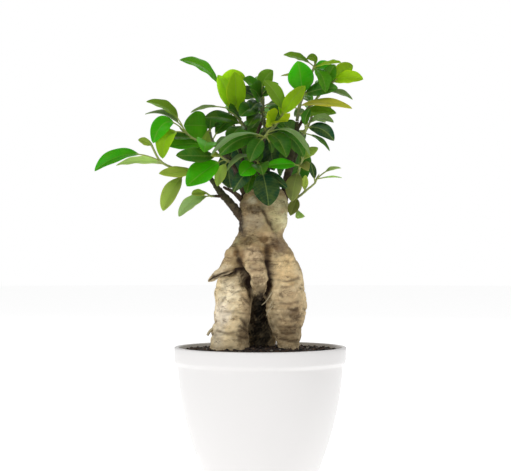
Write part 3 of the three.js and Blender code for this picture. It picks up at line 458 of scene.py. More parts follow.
        Leaf(0.3, (-25, 55, 288), -55, 0.14, 7, 0.25, DARK),
        Leaf(0.9, (-18, 72, 339), -45, 0.16, 6, 0.24, GREEN),
        Leaf(0.1, (-16, 52, 279), -60, 0.16, 7, 0.25, DARK),
        Leaf(0.35, (-27, 69, 311), -50, 0.14, 7, 0.25, GREEN),
        Leaf(0.2, (-38, 50, 299), -20, 0.14, 7, 0.25, DARK),
        Leaf(0.05, (-26, 18, 264), 66, 0.1, 5, 0.26, BLUE_GREEN),
        Leaf(0.12, (-12, 22, 266), 66, 0.12, 7, 0.28, DARK),
    )),
    Shoot("back_mid", "back_mid", 1.4, 0.8, ((3, 29, 332), (3, 33, 348)), (
        Leaf(0.98, (-10, 45, 358), -35, 0.14, 7, 0.25, GREEN),
        Leaf(0.96, (11, 66, 353), -50, 0.14, 7, 0.25, GREEN),
        Leaf(0.75, (-13, 52, 339), -45, 0.14, 7, 0.26, DARK),
        Leaf(0.65, (23, 47, 337), -45, 0.14, 7, 0.26, DARK),
        Leaf(0.5, (2, 71, 324), -50, 0.16, 7, 0.25, GREEN),
        Leaf(0.35, (-11, 45, 310), -45, 0.14, 7, 0.26, DARK),
        Leaf(0.25, (20, 55, 310), -50, 0.14, 7, 0.26, DARK),
        Leaf(0.1, (4, 60, 292), -60, 0.16, 7, 0.25, GREEN),
        Leaf(0.45, (-4, 15, 325), 60, 0.1, 6, 0.26, DARK),
        Leaf(0.16, (-12, 25, 300), 56, 0.1, 6, 0.27, DARK),
        Leaf(0.3, (-16, 20, 331), 62, 0.1, 6, 0.3, BLUE_GREEN),
        Leaf(0.85, (-1, 22, 354), 62, 0.1, 4, 0.3, DARK),
        Leaf(0.62, (19, 20, 329), 62, 0.1, 6, 0.3, DARK),
        Leaf(0.22, (18, 24, 297), 56, 0.1, 5, 0.26, BLUE_GREEN),
        Leaf(0.02, (12, 12, 278), 70, 0.08, 4, 0.26, BLUE_GREEN),
        Leaf(0.04, (5, 25, 282), 66, 0.12, 5, 0.26, DARK),
    )),
    Shoot("back_right", "back_right", 1.4, 0.8, ((43, 33, 320), (48, 37, 334)), (
        Leaf(0.98, (64, 49, 337), -40, 0.14, 7, 0.24, DARK),
        Leaf(0.95, (38, 52, 350), -45, 0.14, 7, 0.25, GREEN),
        Leaf(0.75, (31, 59, 330), -50, 0.14, 7, 0.26, DARK),
        Leaf(0.65, (59, 52, 324), -40, 0.14, 7, 0.22, DARK),
        Leaf(0.9, (49, 72, 335), -50, 0.16, 6, 0.25, GREEN),
        Leaf(0.4, (30, 55, 299), -55, 0.14, 7, 0.26, DARK),
        Leaf(0.25, (25, 55, 299), -55, 0.14, 7, 0.25, GREEN),
        Leaf(0.1, (38, 50, 281), -60, 0.16, 7, 0.24, DARK),
        Leaf(0.05, (18, 24, 275), 64, 0.1, 5, 0.26, DARK),
        Leaf(0.1, (36, 25, 266), 66, 0.12, 6, 0.26, DARK),
        Leaf(0.28, (20, 30, 313), 56, 0.1, 5, 0.27, DARK),
        Leaf(0.1, (18, 20, 320), 68, 0.04, 4, 0.32, DARK),
    )),
)

# Patches on the bark, laid one over the other: middle, reach, colour, strength. Some are the bark's own
# stains; others, marked below, are painted highlights and painted shade
PATCHES: tuple[Patch, ...] = (
    # painted highlight: the left leg's upper and outer side, lit from the upper left (this and the next two)
    Patch((-29, -20, 174), (16, 18, 22), "#fff0cc", 1.0),
    Patch((-36, -14, 154), (13, 18, 16), "#fff0d6", 0.9),
    Patch((-38, -16, 136), (9, 16, 18), "#f0e2c6", 0.7),
    # painted shade: the left leg's inner side towards the gap (this and the next)
    Patch((-11, -12, 160), (8, 14, 24), "#bca27c", 0.7),
    Patch((-14, -12, 136), (10, 14, 14), "#7d6646", 0.8),
    Patch((25, -12, 152), (20, 26, 42), "#c0a67e", 0.8),
    # ochre bark on the right leg's top, made paler as a painted highlight (this and the next)
    Patch((22, -16, 188), (15, 14, 13), "#e8c892", 0.7),
    Patch((24, -12, 200), (14, 12, 9), "#eccf9a", 0.85),
    Patch((25, -16, 172), (10, 10, 7), "#d4bb92", 0.6),
    Patch((28, -14, 155), (10, 10, 7), "#735c3e", 0.75),
    Patch((23, -12, 137), (14, 14, 13), "#917a58", 0.75),
    Patch((12, -10, 150), (7, 12, 22), "#9d8c6b", 0.6),
    # painted light on the bulge: paler at its lit top, darker down to its shaded underside (this and the next
    # three)
    Patch((-5, -22, 206), (12, 12, 9), "#d8be98", 0.8),
    Patch((-4, -24, 193), (11, 10, 9), "#c0a782", 0.8),
    Patch((-2, -22, 183), (10, 9, 6), "#a38b6a", 0.9),
    Patch((-1, -20, 174), (11, 14, 14), "#5c4729", 0.72),
    # painted shade in the folds beside the bulge (this and the next)
    Patch((6.5, -16, 205), (6, 12, 16), "#80623a", 0.7),
    Patch((-16, -18, 200), (5, 10, 13), "#8a6840", 0.6),
    # painted shade under the bulge's tip
    Patch((-1, -12, 167), (9, 13, 9), "#2a2014", 0.95),
    Patch((-29, -18, 203), (8, 9, 8), "#d0b488", 0.8),
    Patch((-21, -18, 206), (3.5, 8, 4), "#6b4b22", 0.85),
    Patch((-24, -8, 217), (9, 14, 8), "#a39e76", 0.7),
    Patch((-36, -22, 193), (12, 9, 8), "#e2cfab", 0.8),
    Patch((17, -12, 214), (12, 12, 10), "#84705a", 0.8),
    Patch((6.5, -14, 222.6), (12, 8, 3), "#b99f78", 0.7),
    Patch((3, -15, 218), (7, 8, 5), "#745732", 0.75),
    Patch((-9.5, -15, 217), (8, 8, 6), "#5e4a28", 0.85),
    Patch((-4, -17, 211), (7, 8, 4), "#86683c", 0.6),
    Patch((11.5, -12, 214), (8, 9, 7), "#6e5434", 0.75),
    Patch((3.5, -18, 209), (12, 8, 4), "#7d6036", 0.7),
    # painted shade in the fold between the left leg and the bulge (this and the next)
    Patch((-15, -13, 189), (5, 8, 5), "#4a3618", 0.85),
    Patch((-14, -11, 183), (6, 8, 9), "#34240f", 0.9),
    # painted shade under the arm (this and the next)
    Patch((-26, -19, 192), (7, 8, 4), "#8f7750", 0.6),
    Patch((-32, -14, 187), (9, 8, 3), "#7a6236", 0.6),
    Patch((-14, -10, 225), (5, 8, 6), "#705f46", 0.8),
    Patch((-17.5, -8, 233), (7, 12, 15), "#2c2012", 0.97),
    Patch((-5, -10, 234), (12, 15, 11), "#a39579", 0.8),
    Patch((-5, -12, 244.5), (13, 11, 5), "#4a381b", 0.97),
    Patch((-14, -8, 250), (5, 10, 5), "#74614a", 0.8),
    Patch((-7, -9, 253), (6, 11, 5), "#c4b89c", 0.9),
    Patch((2.5, -9, 247), (4, 8, 4), "#8b8163", 0.8),
    Patch((14, -6, 237), (12, 16, 15), "#b6ad7e", 0.92),
    Patch((22, -4, 236), (8, 14, 12), "#dcd6a8", 0.85),
    Patch((18, -7, 250), (13, 14, 9), "#bdb58a", 0.9),
    # painted shade between the legs, near black on the back root's front and the legs' inner sides (this and
    # the next)
    Patch((1, 12, 124), (19, 26, 56), "#120e0a", 0.98),
    Patch((0, 8, 158), (12, 16, 24), "#140f0a", 0.97),
)

# Folds in the bark: path, half width, depth, darkness of their painted shade, side
CREASES: tuple[Crease, ...] = (
    Crease(((-46, 183), (-38, 187), (-31, 188.3), (-22, 190.5)), 1.9, 1.6, 1.0),
    Crease(((-24, 190), (-17, 191.5), (-12, 185), (-8.5, 175)), 2.5, 2.6, 1.0),
    Crease(((-10, 180), (-8, 173), (-7.5, 165)), 2.0, 2.0, 1.0),
    Crease(((-20.5, 212), (-19.5, 206), (-18, 200)), 2.0, 1.4, 0.5),
    Crease(((-18.5, 202), (-17, 196), (-14.5, 190), (-12, 184)), 2.3, 2.0, 0.9),
    Crease(((5.8, 211), (7.0, 203), (7.6, 196)), 2.4, 1.8, 0.7),
    Crease(((7.4, 200), (8.5, 187), (6.7, 178), (3.2, 168)), 2.3, 2.4, 1.0),
    Crease(((3.0, 243), (6.5, 235.5), (10.6, 228)), 1.4, 1.5, 0.85),
    Crease(((-13, 200), (-6, 201.5), (4, 200)), 1.0, 0.8, 0.55),
    Crease(((-12, 211), (-5, 208.5), (7, 209)), 1.0, 0.8, 0.5),
    Crease(((-9, 194), (-2, 192), (5, 193.5)), 0.9, 0.7, 0.4),
    Crease(((0.5, 221), (3, 216), (6, 220.5)), 1.6, 1.0, 0.3),
    Crease(((-36, 162), (-33, 165), (-30.5, 168)), 1.2, 0.8, 0.5),
    Crease(((-15, 168), (-12, 165), (-9, 161)), 1.1, 0.9, 0.5),
    Crease(((-17, 150), (-12.5, 145.5), (-9.5, 142)), 1.3, 1.0, 0.65),
    Crease(((-18, 144), (-14, 141), (-10, 138)), 1.0, 0.8, 0.6),
    Crease(((-38, 157), (-28, 156), (-20, 157)), 0.9, 0.6, 0.45),
    Crease(((-37, 139), (-26, 138), (-15, 140)), 1.0, 0.8, 0.55),
    Crease(((-20, 136), (-14, 133), (-10, 134)), 1.2, 0.9, 0.6),
    Crease(((13, 184.5), (20, 182.5), (27, 183.2), (34, 185.5)), 1.1, 0.8, 0.5),
    Crease(((18, 177.8), (22, 177.4), (26.5, 178.4)), 1.0, 0.8, 0.55),
    Crease(((16, 173), (18, 170.5), (19, 169)), 1.1, 0.7, 0.6),
    Crease(((18, 164), (24, 163), (33, 164)), 0.9, 0.6, 0.5),
    Crease(((24, 159), (28.5, 157.5), (33, 159)), 1.3, 1.0, 0.7),
    Crease(((26, 152), (30, 150), (35, 152)), 1.3, 0.8, 0.6),
    Crease(((16, 149.5), (24, 147.5), (33, 149)), 1.0, 0.8, 0.5),
    Crease(((17, 143), (24, 142), (32, 143.6)), 1.0, 0.8, 0.5),
    Crease(((18, 137), (24, 136.4), (30, 137.4)), 0.9, 0.7, 0.5),
    Crease(((19, 131), (25, 130), (31, 131)), 0.9, 0.7, 0.5),
    Crease(((15.7, 138), (15, 148), (16.5, 160)), 2.4, 1.9, 0.85, BACK),
    Crease(((16, 156), (19, 170), (24, 184), (27, 193)), 1.8, 1.3, 0.5, BACK),
    Crease(((-21.6, 132), (-20.5, 145), (-18, 158)), 2.4, 1.9, 0.85, BACK),
    Crease(((-18.5, 155), (-15, 168), (-10, 180), (-8, 192)), 1.8, 1.3, 0.5, BACK),
    Crease(((-34, 128), (-33, 141), (-35, 154)), 1.7, 1.3, 0.6, BACK),
    Crease(((-13, 150), (-3, 147.6), (8, 150)), 1.0, 0.8, 0.55, BACK),
    Crease(((24, 150), (31, 148), (38, 150)), 1.0, 0.8, 0.5, BACK),
    Crease(((-9, 169), (2, 166), (13, 169)), 1.1, 0.8, 0.5, BACK),
    Crease(((-19, 186), (-5, 181.5), (8, 185)), 1.2, 0.9, 0.55, BACK),
    Crease(((-16, 206), (0, 202), (14, 206.5)), 1.2, 0.8, 0.5, BACK),
    Crease(((-12, 222), (1, 226), (13, 222.5)), 1.1, 0.8, 0.5, BACK),
    Crease(((16, 147), (14, 160), (10, 172)), 2.2, 1.8, 0.8, RIGHT),
    Crease(((11, 169), (8, 184), (5, 197)), 1.7, 1.2, 0.5, RIGHT),
    Crease(((34, 147), (31.5, 160), (27, 172), (24, 183)), 1.6, 1.2, 0.55, RIGHT),
    Crease(((-9, 176), (0, 173.5), (8, 176)), 1.0, 0.8, 0.5, RIGHT),
    Crease(((-7, 158), (2, 156), (10, 158.5)), 1.0, 0.8, 0.5, RIGHT),
    Crease(((-8, 142), (1, 140.5), (9, 142)), 1.0, 0.8, 0.5, RIGHT),
    Crease(((19, 166), (27, 163), (34, 165)), 1.0, 0.7, 0.5, RIGHT),
    Crease(((1, 202), (12, 198), (22, 201)), 1.1, 0.8, 0.5, RIGHT),
    Crease(((17, 142), (15, 156), (11, 169)), 2.2, 1.8, 0.8, LEFT),
    Crease(((11.5, 166), (9, 180), (12, 195)), 1.7, 1.2, 0.5, LEFT),
    Crease(((31, 147), (29, 160), (24, 172), (22, 184)), 1.6, 1.2, 0.55, LEFT),
    Crease(((-9, 148), (-2, 146), (6, 148)), 1.0, 0.8, 0.5, LEFT),
    Crease(((-8, 136), (0, 134.5), (8, 136)), 1.0, 0.8, 0.5, LEFT),
    Crease(((22, 166), (30, 163.5), (38, 165)), 1.0, 0.7, 0.5, LEFT),
    Crease(((2, 205), (10, 201), (19, 204.5)), 1.1, 0.8, 0.5, LEFT),
)

# Fine roots between the legs, and the small root behind the left leg
THREADS: tuple[Branch, ...] = (
    Branch("gap_high", 0.6, 0.35, ((12, -8, 175), (8.5, -12, 170.5), (5, -11, 165), (1.2, -8, 161.5))),
    Branch("gap_low", 0.7, 0.3, ((13, -9, 163), (9, -12, 159), (6.5, -13, 156), (5, -12, 152))),
    Branch("gap_mid", 0.5, 0.25, ((13, -9, 168), (9.5, -12.5, 163.5), (8, -13, 159.5))),
    Branch("left_nub", 1.5, 1.1, ((-37, -1, 144), (-41, -3, 141), (-44, -4, 138.5), (-46, -4.5, 135))),
)


def linear(code: str) -> Row:
    """A colour such as "#c9b48a" in linear light: red, green and blue from 0 to 1, then an alpha of 1."""
    shares = [int(code[k:k + 2], 16) / 255 for k in (1, 3, 5)]
    return *(c / 12.92 if c <= 0.04045 else ((c + 0.055) / 1.055) ** 2.4 for c in shares), 1.0


def rgb(code: str) -> np.ndarray:
    """The same colour as an array of red, green and blue."""
    return np.array(linear(code)[:3])


def draw(seed: int, k: int) -> float:
    """A repeatable draw: two whole numbers mixed by multiplying and shifting.

    Args:
        seed: the thing drawn for.
        k: which of its draws.

    Returns:
        A share from 0 to 1.
    """
    h = (seed * HASH_SEED + k * HASH_DRAW + HASH_START) & WORD
    h = ((h ^ (h >> 13)) * HASH_MIX) & WORD
    return (h ^ (h >> 16)) / (WORD + 1)


def unit(v: np.ndarray) -> np.ndarray:
    """Vectors scaled to length one, along the last axis."""
    return v / np.maximum(np.linalg.norm(v, axis=-1, keepdims=True), 1e-12)


def smooth_step(x: np.ndarray | float, low: float, high: float) -> np.ndarray:
    """Rises from 0 at low to 1 at high with level ends: 3t^2 - 2t^3 of the clipped share t."""
    t = np.clip((x - low) / (high - low), 0, 1)
    return t * t * (3 - 2 * t)


def bell(x: np.ndarray) -> np.ndarray:
    """1 at x = 0, falling to nothing on both sides: e to the power of -x^2."""
    return np.exp(-(x**2))


def spline(rows: np.ndarray, t: np.ndarray) -> np.ndarray:
    """A smooth curve through rows of numbers: a uniform Catmull-Rom cubic, its ends carried on straight.

    Args:
        rows: (n, k) knots, every column following the same curve.
        t: places from 0 to 1.

    Returns:
        (len(t), k) points.
    """
    last = len(rows) - 1
    knots = np.vstack([2 * rows[0] - rows[1], rows, 2 * rows[-1] - rows[-2]])
    at = np.asarray(t, float) * last
    i = np.clip(np.floor(at).astype(int), 0, last - 1)
    f = (at - i)[:, None]
    a, b, c, d = knots[i], knots[i + 1], knots[i + 2], knots[i + 3]
    return 0.5 * (
        2 * b + (c - a) * f + (2 * a - 5 * b + 4 * c - d) * f**2 + (3 * b - a - 3 * c + d) * f**3
    )


def ripples(points: np.ndarray, wavelength: float, seed: int, count: int = 14) -> np.ndarray:
    """Soft lumps in space: the mean of cosines of about one wavelength, in seeded directions and phases.

    Args:
        points: (..., 3) places.
        wavelength: distance between lumps.
        seed: picks the directions.
        count: how many cosines.

    Returns:
        (...) heights, mostly between -1 and 1.
    """
    rng = np.random.default_rng(seed)
    way = unit(rng.normal(size=(count, 3))) * (TURN / wavelength) * rng.uniform(0.7, 1.4, (count, 1))
    phase = rng.uniform(0, TURN, count)
    heights = np.cos(points.reshape(-1, 3) @ way.T + phase).sum(1) / math.sqrt(count / 2) * 0.6
    return heights.reshape(points.shape[:-1])


def add_object(name: str, data: bpy.types.ID) -> bpy.types.Object:
    """A new object at the origin, linked to the scene.

    Args:
        name: the object's name.
        data: its mesh, camera or lamp.

    Returns:
        The object.
    """
    obj = bpy.data.objects.new(name, data)
    bpy.context.scene.collection.objects.link(obj)
    return obj


@dataclass
class Surface:
    """One shape: points, four-cornered and three-cornered faces, and values per point."""

    points: np.ndarray
    quads: np.ndarray
    triangles: np.ndarray = field(default_factory=lambda: np.zeros((0, 3), int))
    values: dict[str, np.ndarray] = field(default_factory=dict)

    def outwards(self) -> Surface:
        """Turns every face over where the signed volume shows that they point inwards.

        Returns:
            The surface itself.
        """
        q = self.quads
        a, b, c = self.points[np.vstack([q[:, [0, 1, 2]], q[:, [0, 2, 3]], self.triangles])].swapaxes(0, 1)
        if np.einsum("ij,ij->", a, np.cross(b, c)) < 0:
            self.quads, self.triangles = q[:, ::-1], self.triangles[:, ::-1]
        return self

    @staticmethod
    def joined(parts: list[Surface]) -> Surface:
        """Several surfaces as one.

        Args:
            parts: surfaces with the same kinds of values.

        Returns:
            One surface.
        """
        starts = np.cumsum([0] + [len(p.points) for p in parts[:-1]])
        return Surface(
            np.vstack([p.points for p in parts]),
            np.vstack([p.quads + s for p, s in zip(parts, starts)]),
            np.vstack([p.triangles + s for p, s in zip(parts, starts)]),
            {k: np.concatenate([p.values[k] for p in parts]) for k in parts[0].values},
        )

    def piece(self, name: str, material: bpy.types.Material, node: str, slot: str) -> None:
        """Makes the Blender piece, in metres, and puts it on the body in place of its node.

        Args:
            name: the piece's name.
            material: its finish.
            node: the node it stands for.
            slot: not used.
        """
        mesh = bpy.data.meshes.new(name)
        mesh.from_pydata((self.points * MM).tolist(), [], self.quads.tolist() + self.triangles.tolist())
        mesh.polygons.foreach_set("use_smooth", np.ones(len(mesh.polygons), bool))
        for key, value in self.values.items():
            kind, part = ("FLOAT", "value") if value.ndim == 1 else ("FLOAT_VECTOR", "vector")
            attribute = mesh.attributes.new(key, kind, "POINT")
            attribute.data.foreach_set(part, value.astype(np.float32).ravel())
        mesh.materials.append(material)
        mesh.validate()
        obj = add_object(name, mesh)
        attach(obj, BODY)
        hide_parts(node)
        LOG.info("%s: %d faces, for %s", name, len(mesh.polygons), node)


def grid_faces(rows: int, columns: int) -> np.ndarray:
    """Four-cornered faces of rings of points stored ring by ring, each ring closing on itself.

    Args:
        rows: number of rings.
        columns: points in a ring.

    Returns:
        (m, 4) indices.
    """
    i = np.arange(rows - 1)[:, None] * columns
    k = np.arange(columns)[None, :]
    nxt = (k + 1) % columns
    return np.stack([i + k, i + nxt, i + columns + nxt, i + columns + k], -1).reshape(-1, 4)


def rings_closed(rings: np.ndarray, values: dict[str, np.ndarray]) -> Surface:
    """A closed shape from rings of points, with a fan to a middle point at either end.

    Args:
        rings: (stations, sides, 3) points.
        values: (stations, sides) or (stations, sides, 3) numbers per point.

    Returns:
        The surface, facing outwards.
    """
    stations, sides, _ = rings.shape
    k = np.arange(sides)
    nxt = (k + 1) % sides
    top = (stations - 1) * sides
    first = stations * sides
    caps = np.vstack([
        np.stack([np.full(sides, first), nxt, k], -1),
        np.stack([np.full(sides, first + 1), top + k, top + nxt], -1),
    ])

    def with_middles(value: np.ndarray) -> np.ndarray:
        """Numbers for the rings and for the two middle points.

        Args:
            value: numbers ring by ring.

        Returns:
            A row for each point, then the means of the first and of the last ring.
        """
        parts = value.reshape(first, -1), value[0].reshape(sides, -1), value[-1].reshape(sides, -1)
        flat = np.vstack([parts[0], parts[1].mean(0), parts[2].mean(0)])
        return flat if value.ndim == 3 else flat[:, 0]

    spread = {key: with_middles(value) for key, value in values.items()}
    return Surface(with_middles(rings), grid_faces(stations, sides), caps, spread).outwards()


def turned_rings(radius: np.ndarray, height: np.ndarray, sides: int) -> np.ndarray:
    """Rings of a turned shape: each radius goes once round the upright axis at its height.

    Args:
        radius: (n,) radii.
        height: (n,) heights.
        sides: points in a ring.

    Returns:
        (n, sides, 3) points.
    """
    angle = TURN * np.arange(sides) / sides
    r = radius[:, None]
    return np.stack([r * np.cos(angle), r * np.sin(angle), np.repeat(height[:, None], sides, 1)], -1)


def limb_frames(rows: np.ndarray, t: np.ndarray) -> tuple[np.ndarray, np.ndarray, np.ndarray, np.ndarray]:
    """The middle line of a limb with its directions.

    Args:
        rows: (n, 5) rows of x, y, z, half width, half depth.
        t: stations from 0 to 1.

    Returns:
        The rows at the stations, and the unit directions along, across and through the limb. Across is
        the X axis, or Y on a limb that runs along X, made square to the limb.
    """
    chord = unit(rows[-1, :3] - rows[0, :3])
    reference = np.array([1.0, 0, 0]) if abs(chord[0]) < 0.6 else np.array([0, 1.0, 0])
    step = 0.001
    along = unit(spline(rows, np.minimum(t + step, 1))[:, :3] - spline(rows, np.maximum(t - step, 0))[:, :3])
    across = unit(reference - along * (along @ reference)[:, None])
    return spline(rows, t), along, across, np.cross(along, across)


def limb_rings(rows: np.ndarray, stations: int, sides: int, domes: int = 0) -> np.ndarray:
    """Rings of a limb: ellipses square to its middle line, with its half width and half depth.

    Args:
        rows: (n, 5) rows of x, y, z, half width, half depth.
        stations: rings along it.
        sides: points round a ring.
        domes: extra rings at the far end, shrinking on a quarter circle and pushed outwards.

    Returns:
        (stations + domes, sides, 3) points.
    """
    at, along, across, through = limb_frames(rows, np.linspace(0, 1, stations))
    angle = TURN * np.arange(sides)[None, :, None] / sides
    circle = np.cos(angle) * across[:, None] * at[:, None, 3:4]
    circle = circle + np.sin(angle) * through[:, None] * at[:, None, 4:5]
    turn = 0.5 * np.pi * np.arange(1, domes + 1)[:, None, None] / (domes + 0.6)
    dome = at[-1, :3] + at[-1, 3:5].min() * np.sin(turn) * along[-1] + circle[-1] * np.cos(turn)
    return np.concatenate([at[:, None, :3] + circle, dome])


def with_radius(points: np.ndarray, first: float, last: float) -> np.ndarray:
    """Rows of a round limb whose radius runs evenly from first to last over its points."""
    radius = np.linspace(first, last, len(points))[:, None]
    return np.hstack([points, radius, radius])


def add_node(
    tree: bpy.types.NodeTree, kind: str, inputs: dict | None = None, output: int | str = 0, **settings: object
) -> Socket | None:
    """Adds a shader node with its settings and links.

    Args:
        tree: the material's node tree.
        kind: the node's type, without the ShaderNode that it starts with.
        inputs: socket name or number to a value, or to another node's output socket.
        output: name or number of the output socket that is wanted.
        **settings: the node's own properties.

    Returns:
        That output socket, if the node has any.
    """
    node = tree.nodes.new("ShaderNode" + kind)
    for key, value in settings.items():
        setattr(node, key, value)
    for key, value in (inputs or {}).items():
        if isinstance(value, Socket):
            tree.links.new(value, node.inputs[key])
        else:
            node.inputs[key].default_value = value
    return node.outputs[output] if node.outputs else None


def noise(add: AddNode, size_mm: float, detail: float = 3, squeeze: float = 1) -> Socket:
    """Cloudy noise in space.

    Args:
        add: adds a node to the material.
        size_mm: width of a patch.
        detail: octaves of finer noise.
        squeeze: how much flatter than wide a patch is.

    Returns:
        The noise, from 0 to 1.
    """
    place = add("TexCoord", output="Object")
    if squeeze != 1:
        place = add("Mapping", {"Vector": place, "Scale": (1, 1, squeeze)})
    return add("TexNoise", {"Vector": place, "Scale": 1 / (size_mm * MM), "Detail": detail})


def layered(
    add: AddNode, base: Socket | Row, layers: Sequence[tuple[Socket, float, str]], mode: str = "MIX"
) -> Socket:
    """Colours laid over a base one after the other.

    Args:
        add: adds a node to the material.
        base: the colour underneath.
        layers: for each colour, its factor, a share that weakens it, and its code.
        mode: how a colour is laid on: MIX covers and MULTIPLY stains.

    Returns:
        The colour on top.
    """
    for factor, share, colour in layers:
        weak = add("Math", {0: factor, 1: share}, operation="MULTIPLY")
        base = add("Mix", {0: weak, 6: base, 7: linear(colour)}, 2, blend_type=mode, **COLOURS)
    return base


@dataclass(frozen=True)
class Cloud:
    """Soft-edged patches of noise: none where it is below low, full where it is above high.

    Attributes:
        size_mm: width of a patch.
        low: the noise's value where a patch starts.
        high: its value from which a patch is full.
        detail: octaves of finer noise.
        squeeze: how much flatter than wide a patch is.
    """

    size_mm: float
    low: float
    high: float
    detail: float = 4
    squeeze: float = 1

    def factor(self, add: AddNode) -> Socket:
        """0 between the patches and 1 on them."""
        cloud = noise(add, self.size_mm, self.detail, self.squeeze)
        return add("MapRange", {0: cloud, 1: self.low, 2: self.high}, **LEVEL_ENDS)


@dataclass(frozen=True)
class LineSet:
    """Thin broken lines: where flattened noise passes its middle value, faded in and out by patches.

    Attributes:
        length_mm: length of a line.
        squeeze: how much nearer the lines are than they are long.
        thin: share of the noise's range that a line takes.
        stain: how much the line's colour shows.
        groove: how deep it is beside the other relief.
        gaps: the patches where lines show.
    """

    length_mm: float
    squeeze: float
    thin: float
    stain: float
    groove: float
    gaps: Cloud = Cloud(9, 0.48, 0.62, 2, 1.6)

    def factor(self, add: AddNode) -> Socket:
        """1 on a line and 0 off it.

        Args:
            add: adds a node to the material.

        Returns:
            The lines' factor.
        """
        wave = noise(add, self.length_mm, 2, self.squeeze)
        away = add("Math", {0: wave, 1: 0.5}, operation="SUBTRACT")
        away = add("Math", {0: away}, operation="ABSOLUTE")
        line = add("MapRange", {0: away, 1: self.thin, 2: 0.0}, **LEVEL_ENDS)
        return add("Math", {0: line, 1: self.gaps.factor(add)}, operation="MULTIPLY")


@dataclass(frozen=True)
class Finish:
    """A finish: a named material, shaded as its own class says."""

    name: str

    def shade(self, add: AddNode) -> Socket:
        """The shader's output, from nodes that add puts into the material."""
        raise NotImplementedError

    def build(self) -> bpy.types.Material:
        """Makes the finish's own material.

        Returns:
            The material.
        """
        material = bpy.data.materials.new(self.name)
        material.use_nodes = True
        material.node_tree.nodes.clear()
        add = partial(add_node, material.node_tree)
        add("OutputMaterial", {"Surface": self.shade(add)})
        return material


@dataclass(frozen=True)
class GlazedStoneware(Finish):
    """White glazed stoneware, dipped and fired: a satin skin with a faint orange-peel and soft gloss."""

    name: str = "white_satin_glaze"
    body: str = "#e7e5e4"
    roughness: float = 0.36
    coat: float = 0.25
    coat_roughness: float = 0.18
    peel_mm: float = 2.2
    peel_depth_mm: float = 0.1
    peel: float = 0.06

    def shade(self, add: AddNode) -> Socket:
        """Glaze under a thin clear coat.

        Args:
            add: adds a node to the material.

        Returns:
            The shader's output.
        """
        height = noise(add, self.peel_mm, 2)
        bump = add("Bump", {"Strength": self.peel, "Distance": self.peel_depth_mm * MM, "Height": height})
        return add("BsdfPrincipled", {
            "Base Color": linear(self.body), "Roughness": self.roughness, "Normal": bump,
            "Coat Weight": self.coat, "Coat Roughness": self.coat_roughness})


@dataclass(frozen=True)
class PottingMix(Finish):
    """Moist peat and bark fines: near black, rough, with browner crumbs and a few grey grains.

    The value tone runs from 0, dark peat, through 0.6, bark, to 1, grey grit.
    """

    name: str = "moist_potting_mix"
    peat: str = "#17120f"
    crumb: str = "#3a2a20"
    bark: str = "#4b3829"
    grit: str = "#8d877c"
    roughness: float = 0.86
    crumbs: Cloud = Cloud(2.4, 0.42, 0.68)
    grain_mm: float = 1.1
    grain_depth_mm: float = 0.6
    grain: float = 0.7

    def shade(self, add: AddNode) -> Socket:
        """Peat, with crumbs, bark and grit laid over it.

        Args:
            add: adds a node to the material.

        Returns:
            The shader's output.
        """
        tone = add("Attribute", output="Fac", attribute_name="tone")
        bark = add("MapRange", {0: tone, 1: 0.2, 2: 0.6}, **LEVEL_ENDS)
        grit = add("MapRange", {0: tone, 1: 0.8, 2: 0.95}, **LEVEL_ENDS)
        base = layered(add, linear(self.peat), (
            (self.crumbs.factor(add), 1, self.crumb), (bark, 1, self.bark), (grit, 1, self.grit)))
        height = noise(add, self.grain_mm, 4)
        bump = add("Bump", {"Strength": self.grain, "Distance": self.grain_depth_mm * MM, "Height": height})
        return add("BsdfPrincipled", {"Base Color": base, "Roughness": self.roughness, "Normal": bump})


